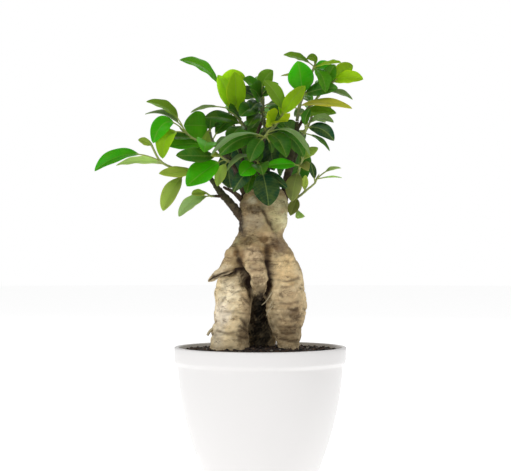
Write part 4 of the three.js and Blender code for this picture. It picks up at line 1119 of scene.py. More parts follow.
@dataclass(frozen=True)
class FicusBark(Finish):
    """Fig bark on swollen roots: smooth dry cork, stretched as the root swells, with fine level wrinkles.

    The value tone is the bark's own colour, with the patches' painted highlights and painted shade in it.
    A second value runs from 0, open, to 1, in a crease: painted shade in the hollows, wrinkles and folds,
    which lays the crease colour over the bark. The grain is drawn coarser than real cork, so that it shows.
    """

    # the colour of the painted shade in hollows, wrinkles and folds
    crease: str = "#2e1d10"
    line: str = "#6f4a24"
    chalk: str = "#e6d6b2"
    band: str = "#b0946c"
    speck: str = "#9a7448"
    roughness: float = 0.74
    specular: float = 0.3
    bump: float = 0.6
    bump_depth_mm: float = 0.9
    chalky: Cloud = Cloud(9, 0.45, 0.7, 4, 1.8)
    bands: Cloud = Cloud(10, 0.46, 0.66, 4, 3)
    specks: Cloud = Cloud(1.5, 0.6, 0.72, 3, 1.8)
    lines: tuple[LineSet, ...] = (LineSet(9, 4.5, 0.03, 0.6, 1.2), LineSet(4.5, 3.0, 0.04, 0.35, 0.6))
    relief: Row = (3.2, 4, 3.5)
    grain_mm: float = 0.9
    grain: float = 0.35

    def shade(self, add: AddNode) -> Socket:
        """Chalk, bands, specks and lines over the bark's colour, then its creases.

        Args:
            add: adds a node to the material.

        Returns:
            The shader's output.
        """
        tone = add("Attribute", output="Color", attribute_name="tone")
        hollow_shade = add("Attribute", output="Fac", attribute_name="hollow_shade")
        base = layered(add, tone, ((self.chalky.factor(add), 0.15, self.chalk),))
        stains = ((self.bands.factor(add), 0.26, self.band), (self.specks.factor(add), 0.35, self.speck))
        base = layered(add, base, stains, "MULTIPLY")
        height = noise(add, *self.relief)
        for lines in self.lines:
            factor = lines.factor(add)
            base = layered(add, base, ((factor, lines.stain, self.line),), "MULTIPLY")
            height = add("Math", {0: factor, 1: -lines.groove, 2: height}, operation="MULTIPLY_ADD")
        # painted shade: the crease colour laid into hollows, wrinkles and folds
        base = layered(add, base, ((hollow_shade, 1, self.crease),))
        grain = noise(add, self.grain_mm, 3)
        height = add("Math", {0: grain, 1: self.grain, 2: height}, operation="MULTIPLY_ADD")
        bump = add("Bump", {"Strength": self.bump, "Distance": self.bump_depth_mm * MM, "Height": height})
        return add("BsdfPrincipled", {
            "Base Color": base, "Roughness": self.roughness, "Normal": bump,
            "Specular IOR Level": self.specular})


@dataclass(frozen=True)
class FigLeaf(Finish):
    """Leathery fig leaf: a waxy green upper face, a paler matt lower face, a pale rib and fine side veins.

    It reads the values tint, glow, face (1 above, 0 below), rib (distance from it), vein (their count
    along the blade) and stalk (1 on it). The pores are drawn much coarser than real ones, so that they show.
    """

    name: str = "waxy_fig_leaf"
    lower: str = "#93a865"
    rib: str = "#a9bd62"
    lower_rib: str = "#b9c48a"
    stalk: str = "#93a04e"
    mottle: str = "#9cae2c"
    light: str = "#a8dc10"
    gloss: float = 0.42
    matt: float = 0.56
    specular: float = 0.18
    rib_mm: float = 0.42
    clouds: Cloud = Cloud(7, 0.35, 0.68, 3)
    pore_mm: float = 1.4
    bump: float = 0.35
    bump_depth_mm: float = 0.25

    def shade(self, add: AddNode) -> Socket:
        """Two faces of different green and gloss, with light that shines through the blade.

        Args:
            add: adds a node to the material.

        Returns:
            The shader's output.
        """
        names = ("vein", "rib", "face", "stalk", "glow")
        vein, rib, face, stalk, glow = (add("Attribute", output="Fac", attribute_name=name) for name in names)
        tint = add("Attribute", output="Color", attribute_name="tint")
        wave = add("Math", {0: vein, 1: 0.5}, operation="PINGPONG")
        vein = add("MapRange", {0: wave, 1: 0.11, 2: 0.0}, **LEVEL_ENDS)
        rib = add("MapRange", {0: rib, 1: self.rib_mm * 1.6, 2: self.rib_mm * 0.5}, **LEVEL_ENDS)
        face = add("MapRange", {0: face, 1: 0.35, 2: 0.65}, **LEVEL_ENDS)
        upper = layered(add, tint, (
            (self.clouds.factor(add), 0.126, self.mottle), (vein, 0.10, self.rib), (rib, 0.26, self.rib)))
        lower = add("Mix", {0: 0.68, 6: linear(self.lower), 7: tint}, 2, **COLOURS)
        lower = layered(add, lower, ((rib, 0.7, self.lower_rib),))
        colour = add("Mix", {0: face, 6: lower, 7: upper}, 2, **COLOURS)
        colour = layered(add, colour, ((stalk, 1, self.stalk),))
        rough = add("MapRange", {0: face, 3: self.matt, 4: self.gloss})
        pores = noise(add, self.pore_mm, 3)
        height = add("Math", {0: vein, 1: -0.6, 2: pores}, operation="MULTIPLY_ADD")
        bump = add("Bump", {"Strength": self.bump, "Distance": self.bump_depth_mm * MM, "Height": height})
        skin = add("BsdfPrincipled", {
            "Base Color": colour, "Roughness": rough, "Normal": bump, "Specular IOR Level": self.specular})
        light = add("Mix", {0: 0.45, 6: colour, 7: linear(self.light)}, 2, **COLOURS)
        through = add("BsdfTranslucent", {"Color": light, "Normal": bump})
        return add("MixShader", {0: glow, 1: skin, 2: through})


@dataclass(frozen=True)
class GreenStem(Finish):
    """Young fig stem: soft olive-green skin that greys into cork towards the branch.

    The value age runs from 0 at the tip to 1 at the branch; on the shoots inside the crown it is held high,
    so that their stems take the darker cork colour as painted shade.
    """

    name: str = "young_fig_stem"
    young: str = "#8f9b52"
    # cork, darkened so that it serves also as painted shade on the stems inside the crown
    cork_and_shade: str = "#3f4128"
    fleck: str = "#5d5a33"
    roughness: float = 0.55
    flecks: Cloud = Cloud(1.2, 0.5, 0.7, 3)
    grain_mm: float = 0.9
    grain_depth_mm: float = 0.3
    grain: float = 0.4

    def shade(self, add: AddNode) -> Socket:
        """Green skin, with cork and flecks laid over it.

        Args:
            add: adds a node to the material.

        Returns:
            The shader's output.
        """
        age = add("Attribute", output="Fac", attribute_name="age")
        old = add("MapRange", {0: age, 1: 0.25, 2: 1.0}, **LEVEL_ENDS)
        flecks = self.flecks.factor(add)
        colour = layered(add, linear(self.young), ((old, 1, self.cork_and_shade), (flecks, 0.35, self.fleck)))
        height = noise(add, self.grain_mm, 3)
        bump = add("Bump", {"Strength": self.grain, "Distance": self.grain_depth_mm * MM, "Height": height})
        return add("BsdfPrincipled", {"Base Color": colour, "Roughness": self.roughness, "Normal": bump})


@dataclass(frozen=True)
class StudioPaint(Finish):
    """Matt white studio paint, lit from within a little so that the sweep stays even."""

    name: str = "matt_white_floor"
    colour: str = "#fafafa"
    roughness: float = 0.9
    lift: float = 0.56

    def shade(self, add: AddNode) -> Socket:
        """White paint with an even lift.

        Args:
            add: adds a node to the material.

        Returns:
            The shader's output.
        """
        return add("BsdfPrincipled", {
            "Base Color": linear(self.colour), "Roughness": self.roughness,
            "Emission Color": WHITE, "Emission Strength": self.lift})


@dataclass
class Pot:
    """The turned pot: a band round the rim, a soft step, a wall drawn in to a flat foot."""

    height: float = 125
    radius: float = 75
    band_foot_radius: float = 74.6
    band_bottom: float = 113
    step_bottom: float = 108.5
    wall_radius: float = 72.6
    wall_bend: float = 0.00187
    wall: float = 4
    floor: float = 5
    edge: float = 1.1
    segments: int = 200

    def outer(self, z: np.ndarray | float) -> np.ndarray | float:
        """Outside radius of the wall: it shrinks with the square of the depth below the rim."""
        return self.wall_radius - self.wall_bend * (self.height - z) ** 2

    def inner(self, z: np.ndarray | float) -> np.ndarray:
        """Inside radius: the wall's thickness in from the outside, and straight up to the lip.

        Args:
            z: height.

        Returns:
            The radius there.
        """
        foot = self.outer(self.step_bottom) - self.wall
        share = (z - self.step_bottom) / (self.height - self.edge - self.step_bottom)
        lip = foot + (self.radius - self.wall - foot) * share
        return np.where(share > 0, lip, self.outer(z) - self.wall)

    def profile(self) -> np.ndarray:
        """The section's points from the foot's middle, up the outside, over the lip and down to the floor.

        The foot's edge is eased, the step follows the level-ended curve of smooth_step, and the lip turns
        over on two quarter circles.

        Returns:
            (n, 2) rows of radius and height.
        """
        e, r, h, low = self.edge, self.radius, self.height, self.step_bottom
        foot = np.array([(self.outer(0) - 1.4, 0.0), (self.outer(0) - 0.5, 0.25), (self.outer(1.2), 1.2)])
        z = np.linspace(3, low - 1.5, 40)
        wall = np.stack([self.outer(z), z], 1)
        s = np.linspace(0, 1, 9)
        step_radius = self.outer(low) + (self.band_foot_radius - self.outer(low)) * smooth_step(s, 0, 1)
        step = np.stack([step_radius, low + (self.band_bottom - low) * s], 1)
        band = np.array([(self.band_foot_radius + 0.1, self.band_bottom + 1), (r - 0.05, h - 5)])
        turn = np.linspace(0, 0.5 * np.pi, 6)
        lip_out = np.stack([r - e + e * np.cos(turn), h - e + e * np.sin(turn)], 1)
        lip_in = np.stack([r - self.wall + e - e * np.sin(turn), h - e + e * np.cos(turn)], 1)
        z = np.linspace(h - e - 1, self.floor + 2, 30)
        inside = np.stack([self.inner(z), z], 1)
        floor = np.array([(self.inner(self.floor) - 1.5, self.floor)])
        return np.vstack([foot, wall, step, band, lip_out, lip_in, inside, floor])

    def build(self, finish: GlazedStoneware) -> None:
        """Turns the profile about the upright axis and dresses it."""
        rings = turned_rings(*self.profile().T, self.segments)
        rings_closed(rings, {}).piece("pot_glazed", finish.build(), "pot", "pot")


@dataclass
class Soil:
    """The potting mix: a lumpy bed, mounded to the roots, with loose crumbs on it."""

    pot: Pot
    edge_height: float = 121.4
    rise: float = 2.2
    clear: float = 0.35
    lump: float = 0.9
    lump_sizes: tuple[Row, ...] = ((13, 0.5), (5, 0.4), (2.2, 0.3))
    crumbs: int = 1500
    crumb_least: float = 0.55
    crumb_spread: float = 1.5
    crumb_flat: float = 0.75
    crumb_edge: float = 2.5
    rings: int = 84
    segments: int = 240
    seed: int = 7

    def height(self, x: np.ndarray, y: np.ndarray) -> np.ndarray:
        """Height of the bed: a low mound, plus lumps of three sizes that fade out at the wall.

        Args:
            x: places across.
            y: places in depth.

        Returns:
            The heights there.
        """
        r = np.hypot(x, y)
        reach = float(self.pot.inner(self.edge_height))
        mound = self.rise * (1 - (r / reach) ** 2)
        flat = np.stack([x, y, np.zeros_like(x)], -1)
        rough = sum(ripples(flat, size, 1 + k) * share for k, (size, share) in enumerate(self.lump_sizes))
        return self.edge_height + mound + self.lump * rough * smooth_step(reach - r, 0, 4)

    def bed(self) -> Surface:
        """The bed: its top, then its side down to the pot's floor.

        Returns:
            The surface, with tone 0.
        """
        reach = float(self.pot.inner(self.edge_height)) - self.clear
        r = reach * np.linspace(0.01, 1, self.rings) ** 0.8
        top = turned_rings(r, np.zeros(self.rings), self.segments)
        top[..., 2] = self.height(top[..., 0], top[..., 1])
        z = np.linspace(self.edge_height - 2, self.pot.floor + self.clear, 12)
        rings = np.concatenate([top, turned_rings(self.pot.inner(z) - self.clear, z, self.segments)])
        return rings_closed(rings, {"tone": np.zeros(rings.shape[:2])})

    def loose(self) -> Surface:
        """Loose crumbs: eight-sided grains, squashed, turned and strewn by a seeded draw.

        Returns:
            The surface, with each crumb's tone.
        """
        rng = np.random.default_rng(self.seed)
        n = self.crumbs
        r = (float(self.pot.inner(self.edge_height)) - self.crumb_edge) * np.sqrt(rng.uniform(0, 1, n))
        a = rng.uniform(0, TURN, n)
        x, y = r * np.cos(a), r * np.sin(a)
        size = self.crumb_least + self.crumb_spread * rng.uniform(0, 1, n) ** 3
        middle = np.stack([x, y, self.height(x, y) + size * 0.35], -1)
        corner = np.array([(1, 0, 0), (0, 1, 0), (-1, 0, 0), (0, -1, 0), (0, 0, 1), (0, 0, -1)], float)
        shape = corner[None] * rng.uniform(0.6, 1.25, (n, 6, 1))
        turn, _ = np.linalg.qr(rng.normal(size=(n, 3, 3)))
        turn *= np.sign(np.linalg.det(turn))[:, None, None]
        shape = shape @ turn * size[:, None, None]
        shape[..., 2] *= self.crumb_flat
        points = (middle[:, None] + shape).reshape(-1, 3)
        eight = np.array([
            (0, 1, 4), (1, 2, 4), (2, 3, 4), (3, 0, 4), (1, 0, 5), (2, 1, 5), (3, 2, 5), (0, 3, 5)])
        triangles = (eight[None] + 6 * np.arange(n)[:, None, None]).reshape(-1, 3)
        kind = rng.uniform(0, 1, n)
        tone = np.where(kind > 0.95, 1.0, np.where(kind > 0.6, 0.6, 0.1))
        return Surface(points, np.zeros((0, 4), int), triangles, {"tone": np.repeat(tone, 6)})

    def build(self, finish: PottingMix) -> None:
        """Makes and dresses the bed and the crumbs.

        Args:
            finish: the mix's finish.
        """
        material = finish.build()
        self.bed().piece("soil_bed", material, "soil", "soil")
        self.loose().piece("soil_crumbs", material, "soil", "soil")


@dataclass
class Trunk:
    """The swollen roots, the stumps and the woody branches."""

    roots: tuple[Limb, ...]
    branches: tuple[Branch, ...]
    patches: tuple[Patch, ...]
    creases: tuple[Crease, ...]
    threads: tuple[Branch, ...]
    voxel: float = 1.15
    loft: tuple[int, int, int] = (48, 44, 4)
    fillet_passes: int = 3
    fillet_rounds: int = 14
    fillet_lift: float = 0.12
    hollow_rounds: int = 30
    lumps: tuple[Row, ...] = ((19, 0.9), (9, 0.42), (4.2, 0.16))
    buried: Row = (97, 112)
    neck_heights: Row = (180, 206)
    wrinkle_gap: float = 4.2
    wrinkle_shift: float = 2.5
    wrinkle_tilt: float = 2.2
    wrinkle_width: Row = (0.5, 1.0)
    wrinkle_depth: Row = (0.1, 0.7)
    wrinkle_spread: Row = (0.4, 1.4)
    patch_edge: Row = (0.35, 1.05)
    mottle: float = 0.10
    leg: str = "#e6d0a4"
    neck: str = "#a8926a"
    wood: str = "#4c3d2c"
    twig: str = "#3a3c1c"
    thread_bark: str = "#c2b594"
    branch_sides: int = 16
    branch_step: float = 1.1
    branch_lump: float = 0.13
    scar_gap: float = 5.5
    scar_swell: float = 0.07
    twig_lengths: Row = (40, 60)
    seed: int = 11

    def merged(self) -> tuple[np.ndarray, np.ndarray]:
        """All limbs as one closed skin: overlapping lofts rebuilt as even squares, inner walls left out.

        Returns:
            Points and (n, 4) faces.
        """
        lofts = [limb_rings(limb.knots(), *self.loft) for limb in self.roots]
        rough = Surface.joined([rings_closed(loft, {}) for loft in lofts])
        LOG.info("merged %s", ", ".join(limb.name for limb in self.roots))
        mesh = bpy.data.meshes.new("rough")
        mesh.from_pydata((rough.points * MM).tolist(), [], rough.quads.tolist() + rough.triangles.tolist())
        obj = add_object("rough", mesh)
        remesh = obj.modifiers.new("even", "REMESH")
        remesh.mode = "VOXEL"
        remesh.voxel_size = self.voxel * MM
        remesh.adaptivity = 0
        even = obj.evaluated_get(bpy.context.evaluated_depsgraph_get()).to_mesh()
        points = np.zeros(len(even.vertices) * 3, np.float32)
        even.vertices.foreach_get("co", points)
        corners = np.zeros(len(even.loops), np.int32)
        even.loops.foreach_get("vertex_index", corners)
        bpy.data.objects.remove(obj)
        bpy.data.meshes.remove(mesh)
        return points.reshape(-1, 3).astype(float) / MM, corners.reshape(-1, 4)

    @staticmethod
    def averaged(value: np.ndarray, quads: np.ndarray, rounds: int) -> np.ndarray:
        """Moves each value half way to the mean of its neighbours along the face edges, several times.

        Args:
            value: (n, 3) numbers per point.
            quads: (m, 4) faces.
            rounds: how many times.

        Returns:
            The new numbers.
        """
        a = quads.ravel()
        b = np.roll(quads, -1, 1).ravel()
        n = len(value)
        count = np.bincount(a, minlength=n) + np.bincount(b, minlength=n)
        flat = value.copy()
        for _ in range(rounds):
            total = [np.bincount(a, flat[b, c], n) + np.bincount(b, flat[a, c], n) for c in range(3)]
            flat += 0.5 * (np.stack(total, 1) / np.maximum(count, 1)[:, None] - flat)
        return flat

    @staticmethod
    def normals(points: np.ndarray, quads: np.ndarray) -> np.ndarray:
        """Unit normals at the points: the sum of the cross products of each face's diagonals.

        Args:
            points: (n, 3) places.
            quads: (m, 4) faces.

        Returns:
            (n, 3) directions.
        """
        p = points[quads]
        cross = np.cross(p[:, 2] - p[:, 0], p[:, 3] - p[:, 1])
        total = [np.bincount(quads.ravel(), np.repeat(cross[:, c], 4), len(points)) for c in range(3)]
        return unit(np.stack(total, 1))

    def wrinkles(self, points: np.ndarray) -> np.ndarray:
        """Rings of broken wrinkles round each limb.

        Each limb is followed by close stations. A point takes its nearest limb, its place s along it and
        its angle round it; each wrinkle is a narrow bell in s, tilted and wavy with the angle and faded to
        one part of the way round. They fade out where two limbs are equally near.

        Args:
            points: (n, 3) places on the skin.

        Returns:
            (n,) depths.
        """
        rng = np.random.default_rng(self.seed)
        best = np.full(len(points), 1e9)
        second = np.full(len(points), 1e9)
        depth = np.zeros(len(points))
        span = np.arange(len(points))
        for limb in self.roots:
            at, along, across, through = limb_frames(limb.knots(), np.linspace(0, 1, 60))
            place = np.concatenate([[0], np.cumsum(np.linalg.norm(np.diff(at[:, :3], axis=0), axis=1))])
            gap = points[:, None] - at[None, :, :3]
            reach = np.linalg.norm(gap, axis=2) / np.sqrt(at[:, 3] * at[:, 4])
            k = reach.argmin(1)
            s, x, y = (np.einsum("ij,ij->i", gap[span, k], way[k]) for way in (along, across, through))
            s = (place[k] + s)[:, None]
            angle = np.arctan2(y, x)[:, None]
            count = int(place[-1] / self.wrinkle_gap)
            shift = rng.uniform(-self.wrinkle_shift, self.wrinkle_shift, count)
            centre = np.linspace(3, place[-1] - 2, count) + shift
            facing = rng.uniform(-np.pi, np.pi, count)
            tilt = rng.normal(0, self.wrinkle_tilt, count)
            ranges = (self.wrinkle_width, self.wrinkle_depth, self.wrinkle_spread)
            wide, deep, spread = (rng.uniform(*limits, count) for limits in ranges)
            wave = 0.5 * np.sin(3 * angle + facing) + 0.3 * np.sin(7 * angle + 2 * facing)
            away = s - centre - tilt * np.sin(angle - facing) - wave
            turn = np.angle(np.exp(1j * (angle - facing)))
            found = (deep * bell(away / wide) * bell(turn / spread)).sum(1)
            nearest = reach[span, k]
            closer = nearest < best
            second = np.where(closer, best, np.minimum(second, nearest))
            best = np.where(closer, nearest, best)
            depth = np.where(closer, found, depth)
        return depth * (0.35 + 0.65 * smooth_step(second - best, 0.02, 0.3))

    def drawn(self, points: np.ndarray, facing: np.ndarray) -> tuple[np.ndarray, np.ndarray]:
        """Depth and painted shade of the listed folds: a bell of the distance to each path, seen from its
        side.

        Args:
            points: (n, 3) places on the skin.
            facing: their normals.

        Returns:
            (n,) depths and (n,) shares of painted shade.
        """
        depth = np.zeros(len(points))
        dark = np.zeros(len(points))
        wander = ripples(points, 6, 31) * 0.5
        for crease in self.creases:
            across, toward, sign = crease.side.value
            shown = smooth_step(sign * facing[:, toward], 0.0, 0.35)
            shown = shown * smooth_step(sign * points[:, toward], -6, 2)
            line = spline(np.array(crease.path, float), np.linspace(0, 1, 24))
            flat = points[:, None, [across, 2]] - line[:-1]
            run = np.diff(line, axis=0)
            t = np.clip((flat * run).sum(2) / (run * run).sum(1), 0, 1)
            away = np.linalg.norm(flat - t[..., None] * run, axis=2).min(1) + wander * min(crease.width, 1)
            dent = bell(away / crease.width) * shown
            depth += crease.depth * dent
            dark = np.maximum(dark, crease.dark * dent)
        return depth, dark

    def bark_colour_and_painted_light(self, points: np.ndarray) -> np.ndarray:
        """The bark's colours: pale legs and a browner neck, then the listed patches with their painted
        highlights and painted shade, then a mottle.

        Args:
            points: (n, 3) places on the skin.

        Returns:
            (n, 3) linear red, green and blue.
        """
        height = smooth_step(points[:, 2] + 5 * ripples(points, 16, 40), *self.neck_heights)[:, None]
        tone = rgb(self.leg) * (1 - height) + rgb(self.neck) * height
        edge = 0.12 * ripples(points, 8, 43) + 0.14 * ripples(points, 2.6, 44)
        for patch in self.patches:
            away = np.linalg.norm((points - np.array(patch.middle)) / np.array(patch.reach), axis=1) + edge
            share = patch.strength * (1 - smooth_step(away, *self.patch_edge))
            tone = tone + (rgb(patch.colour) - tone) * share[:, None]
        mottle = 1 + self.mottle * ripples(points, 13, 41) + self.mottle * ripples(points, 4.5, 42)
        return tone * np.clip(mottle, 0.7, 1.25)[:, None]

    def skin(self) -> Surface:
        """The trunk's skin: merged limbs, filleted, then lumped, wrinkled and folded, with its colours.

        Returns:
            The surface, with tone, and painted shade in its hollows, wrinkles and folds.
        """
        points, quads = self.merged()
        for _ in range(self.fillet_passes):
            points = self.averaged(points, quads, self.fillet_rounds)
            points = points + self.normals(points, quads) * self.fillet_lift
        normal = self.normals(points, quads)
        hollow = np.einsum("ij,ij->i", self.averaged(points, quads, self.hollow_rounds) - points, normal)
        lumps = enumerate(self.lumps, self.seed)
        lift = sum(height * ripples(points, size, seed) for seed, (size, height) in lumps)
        wrinkle = self.wrinkles(points)
        fold, dark = self.drawn(points, normal)
        seen = smooth_step(points[:, 2], *self.buried)
        points = points + normal * ((lift - wrinkle) * seen - fold)[:, None]
        # painted shade: darker in hollows, in the wrinkles and in the listed folds
        hollow_shade = np.clip(smooth_step(hollow, 0.15, 1.6) * 0.85 + wrinkle * 0.75 + dark, 0, 1)
        return Surface(points, quads, values={"tone": self.bark_colour_and_painted_light(points), "hollow_shade": hollow_shade}).outwards()

    def branch(self, branch: Branch, number: int) -> Surface:
        """One branch: a round loft whose radius swells at scars, roughened by small lumps.

        Args:
            branch: the branch.
            number: picks its lumps.

        Returns:
            The surface, with tone, and painted shade in its low spots, with dark rings at its scars.
        """
        length = np.linalg.norm(np.diff(branch.knots(), axis=0), axis=1).sum()
        stations = max(16, int(length / self.branch_step))
        rings = limb_rings(branch.rows(), stations, self.branch_sides)
        out = rings - rings.mean(1, keepdims=True)
        t = np.linspace(0, 1, stations)[:, None]
        rough = ripples(rings, 3.4, 51 + number)
        scar = np.sin(TURN * (t * length / self.scar_gap + 0.35 * rough)) ** 8
        swell = (self.branch_lump * rough + self.scar_swell * scar) * smooth_step(1 - t, 0, 0.06)
        rings = rings + out * swell[..., None]
        share = (smooth_step(t, 0.1, 0.7) * smooth_step(length, *self.twig_lengths))[..., None]
        tone = (rgb(self.wood) * (1 - share) + rgb(self.twig) * share) * (1 + 0.25 * rough[..., None])
        # painted shade in the low spots between lumps, with dark rings at the scars
        hollow_shade = 0.5 * np.clip(0.25 - 0.45 * rough + 0.3 * scar, 0, 1)
        return rings_closed(rings, {"tone": tone, "hollow_shade": hollow_shade})

    def thread(self, branch: Branch) -> Surface:
        """A fine bare root: a thin round loft in pale bark.

        Args:
            branch: the fine root.

        Returns:
            The surface, with tone, and no painted shade.
        """
        rings = limb_rings(branch.rows(), 16, 8)
        tone = np.tile(rgb(self.thread_bark), (*rings.shape[:2], 1))
        return rings_closed(rings, {"tone": tone, "hollow_shade": np.zeros(rings.shape[:2])})

    def build(self, bark: FicusBark, wood: FicusBark) -> None:
        """Makes and dresses the trunk's skin, its fine roots and its branches.

        Args:
            bark: finish of the roots.
            wood: finish of the branches.
        """
        finish = bark.build()
        self.skin().piece("trunk_skin", finish, "trunk", "bark")
        fine = Surface.joined([self.thread(branch) for branch in self.threads])
        fine.piece("trunk_fine_roots", finish, "trunk", "bark")
        parts = [self.branch(branch, k) for k, branch in enumerate(self.branches)]
        Surface.joined(parts).piece("trunk_branches", wood.build(), "trunk", "bark")


@dataclass
class PlacedLeaf:
    """A leaf with its place worked out: its midrib's curve and how its face is turned."""

    leaf: Leaf
    number: int
    shoot: int
    root: np.ndarray
    fold: float
    roll: float
    control: np.ndarray | None = None
    tip: np.ndarray | None = None
    normal: np.ndarray | None = None
    reach: float = 0

    def turned(self, shift: int, roll: int, rule: SettlingRule) -> PlacedLeaf:
        """The leaf with its tip moved in depth and its face rolled by whole steps.

        Args:
            shift: steps of depth.
            roll: steps of roll.
            rule: the step sizes.

        Returns:
            A copy in that place.
        """
        tip = np.array(self.leaf.tip, float) + np.array([0, rule.shift_step * shift, 0])
        chord = tip - self.root
        length = np.linalg.norm(chord)
        c = chord / length
        t = math.radians(self.leaf.tilt)
        facing = np.array([0, -math.sin(t), math.cos(t)])
        n = unit(facing - c * (facing @ c))
        a = math.radians(self.roll + rule.roll_step * roll)
        n = n * math.cos(a) + np.cross(c, n) * math.sin(a) + c * (c @ n) * (1 - math.cos(a))
        bend = np.array([0, -BEND_LEAN if self.leaf.tilt >= 0 else BEND_LEAN, 1.0])
        bend = unit(bend - c * (bend @ c))
        control = (self.root + tip) / 2 + bend * (2 * self.leaf.arch * length)
        reach = length * (1 + ARCH_REACH * self.leaf.arch**2)
        return replace(self, tip=tip, control=control, normal=n, reach=reach)

    def stalk_share(self) -> float:
        """The stalk's share of the leaf's length."""
        return min(self.leaf.petiole / self.reach, 0.5)

    def frame(self, u: np.ndarray) -> tuple[np.ndarray, np.ndarray, np.ndarray]:
        """The midrib's points, a quadratic curve from root to tip, with the directions aside and up.

        Args:
            u: (n,) places from 0 to 1 along the leaf.

        Returns:
            Three (n, 3) arrays.
        """
        u = u[:, None]
        centre = (1 - u) ** 2 * self.root + 2 * u * (1 - u) * self.control + u**2 * self.tip
        tangent = unit(2 * (1 - u) * (self.control - self.root) + 2 * u * (self.tip - self.control))
        side = unit(np.cross(tangent, self.normal))
        return centre, side, np.cross(side, tangent)

    def half_width(self, v: np.ndarray) -> np.ndarray:
        """Half width of the blade at v from its foot to its tip: a power of sin(pi v) times its widest."""
        shape = np.sin(np.pi * np.minimum(v, 1)).clip(0) ** BLADE_POWER
        return self.leaf.ratio * self.reach * (1 - self.stalk_share()) * shape

    def samples(self) -> np.ndarray:
        """Points tested for clearance: rows across the blade, then the stalk.

        Returns:
            (n, 3) points.
        """
        v = np.repeat(0.02 + 0.98 * np.arange(SAMPLE_ROWS) / (SAMPLE_ROWS - 1), len(SAMPLE_ACROSS))
        s = np.tile(np.array(SAMPLE_ACROSS), SAMPLE_ROWS)
        share = self.stalk_share()
        centre, side, up = self.frame(share + (1 - share) * v)
        w = self.half_width(v)
        blade = centre + side * (s * w)[:, None] + up * (self.fold * np.abs(s) * w)[:, None]
        return np.vstack([blade, self.frame(share * np.array(SAMPLE_STALK))[0]])


@dataclass(frozen=True)
class SettlingRule:
    """How leaves are moved clear of their neighbours.

    Attributes:
        gap: the clearance that is wished for.
        kin: how much less is enough between leaves of one shoot.
        shift_step: a step of the tip in depth.
        roll_step: a step of roll, in degrees.
        roll_cost: how much a step of roll counts beside one of depth.
        shifts: steps of depth that are tried.
        rolls: steps of roll that are tried.
        stumps: balls in the trunk's place: x, y, z and radius.
    """

    gap: float = 2.8
    kin: float = 1.4
    shift_step: float = 5.0
    roll_step: float = 14.0
    roll_cost: float = 0.8
    shifts: tuple[int, ...] = (0, -1, 1, -2, 2, -3, 3, -4, 4)
    rolls: tuple[int, ...] = (0, -1, 1, -2, 2)
    stumps: tuple[Row, ...] = (
        (-7, 0, 237, 12.5), (-7, 0, 247, 10), (14, 1, 238, 9.5), (14, 1, 246, 11), (0, 0, 222, 16),
    )

    def tries(self) -> list[tuple[int, int]]:
        """Every pair of a shift and a roll, the smallest change first."""
        pairs = [(a, b) for a in self.shifts for b in self.rolls]
        return sorted(pairs, key=lambda pair: abs(pair[0]) + self.roll_cost * abs(pair[1]))


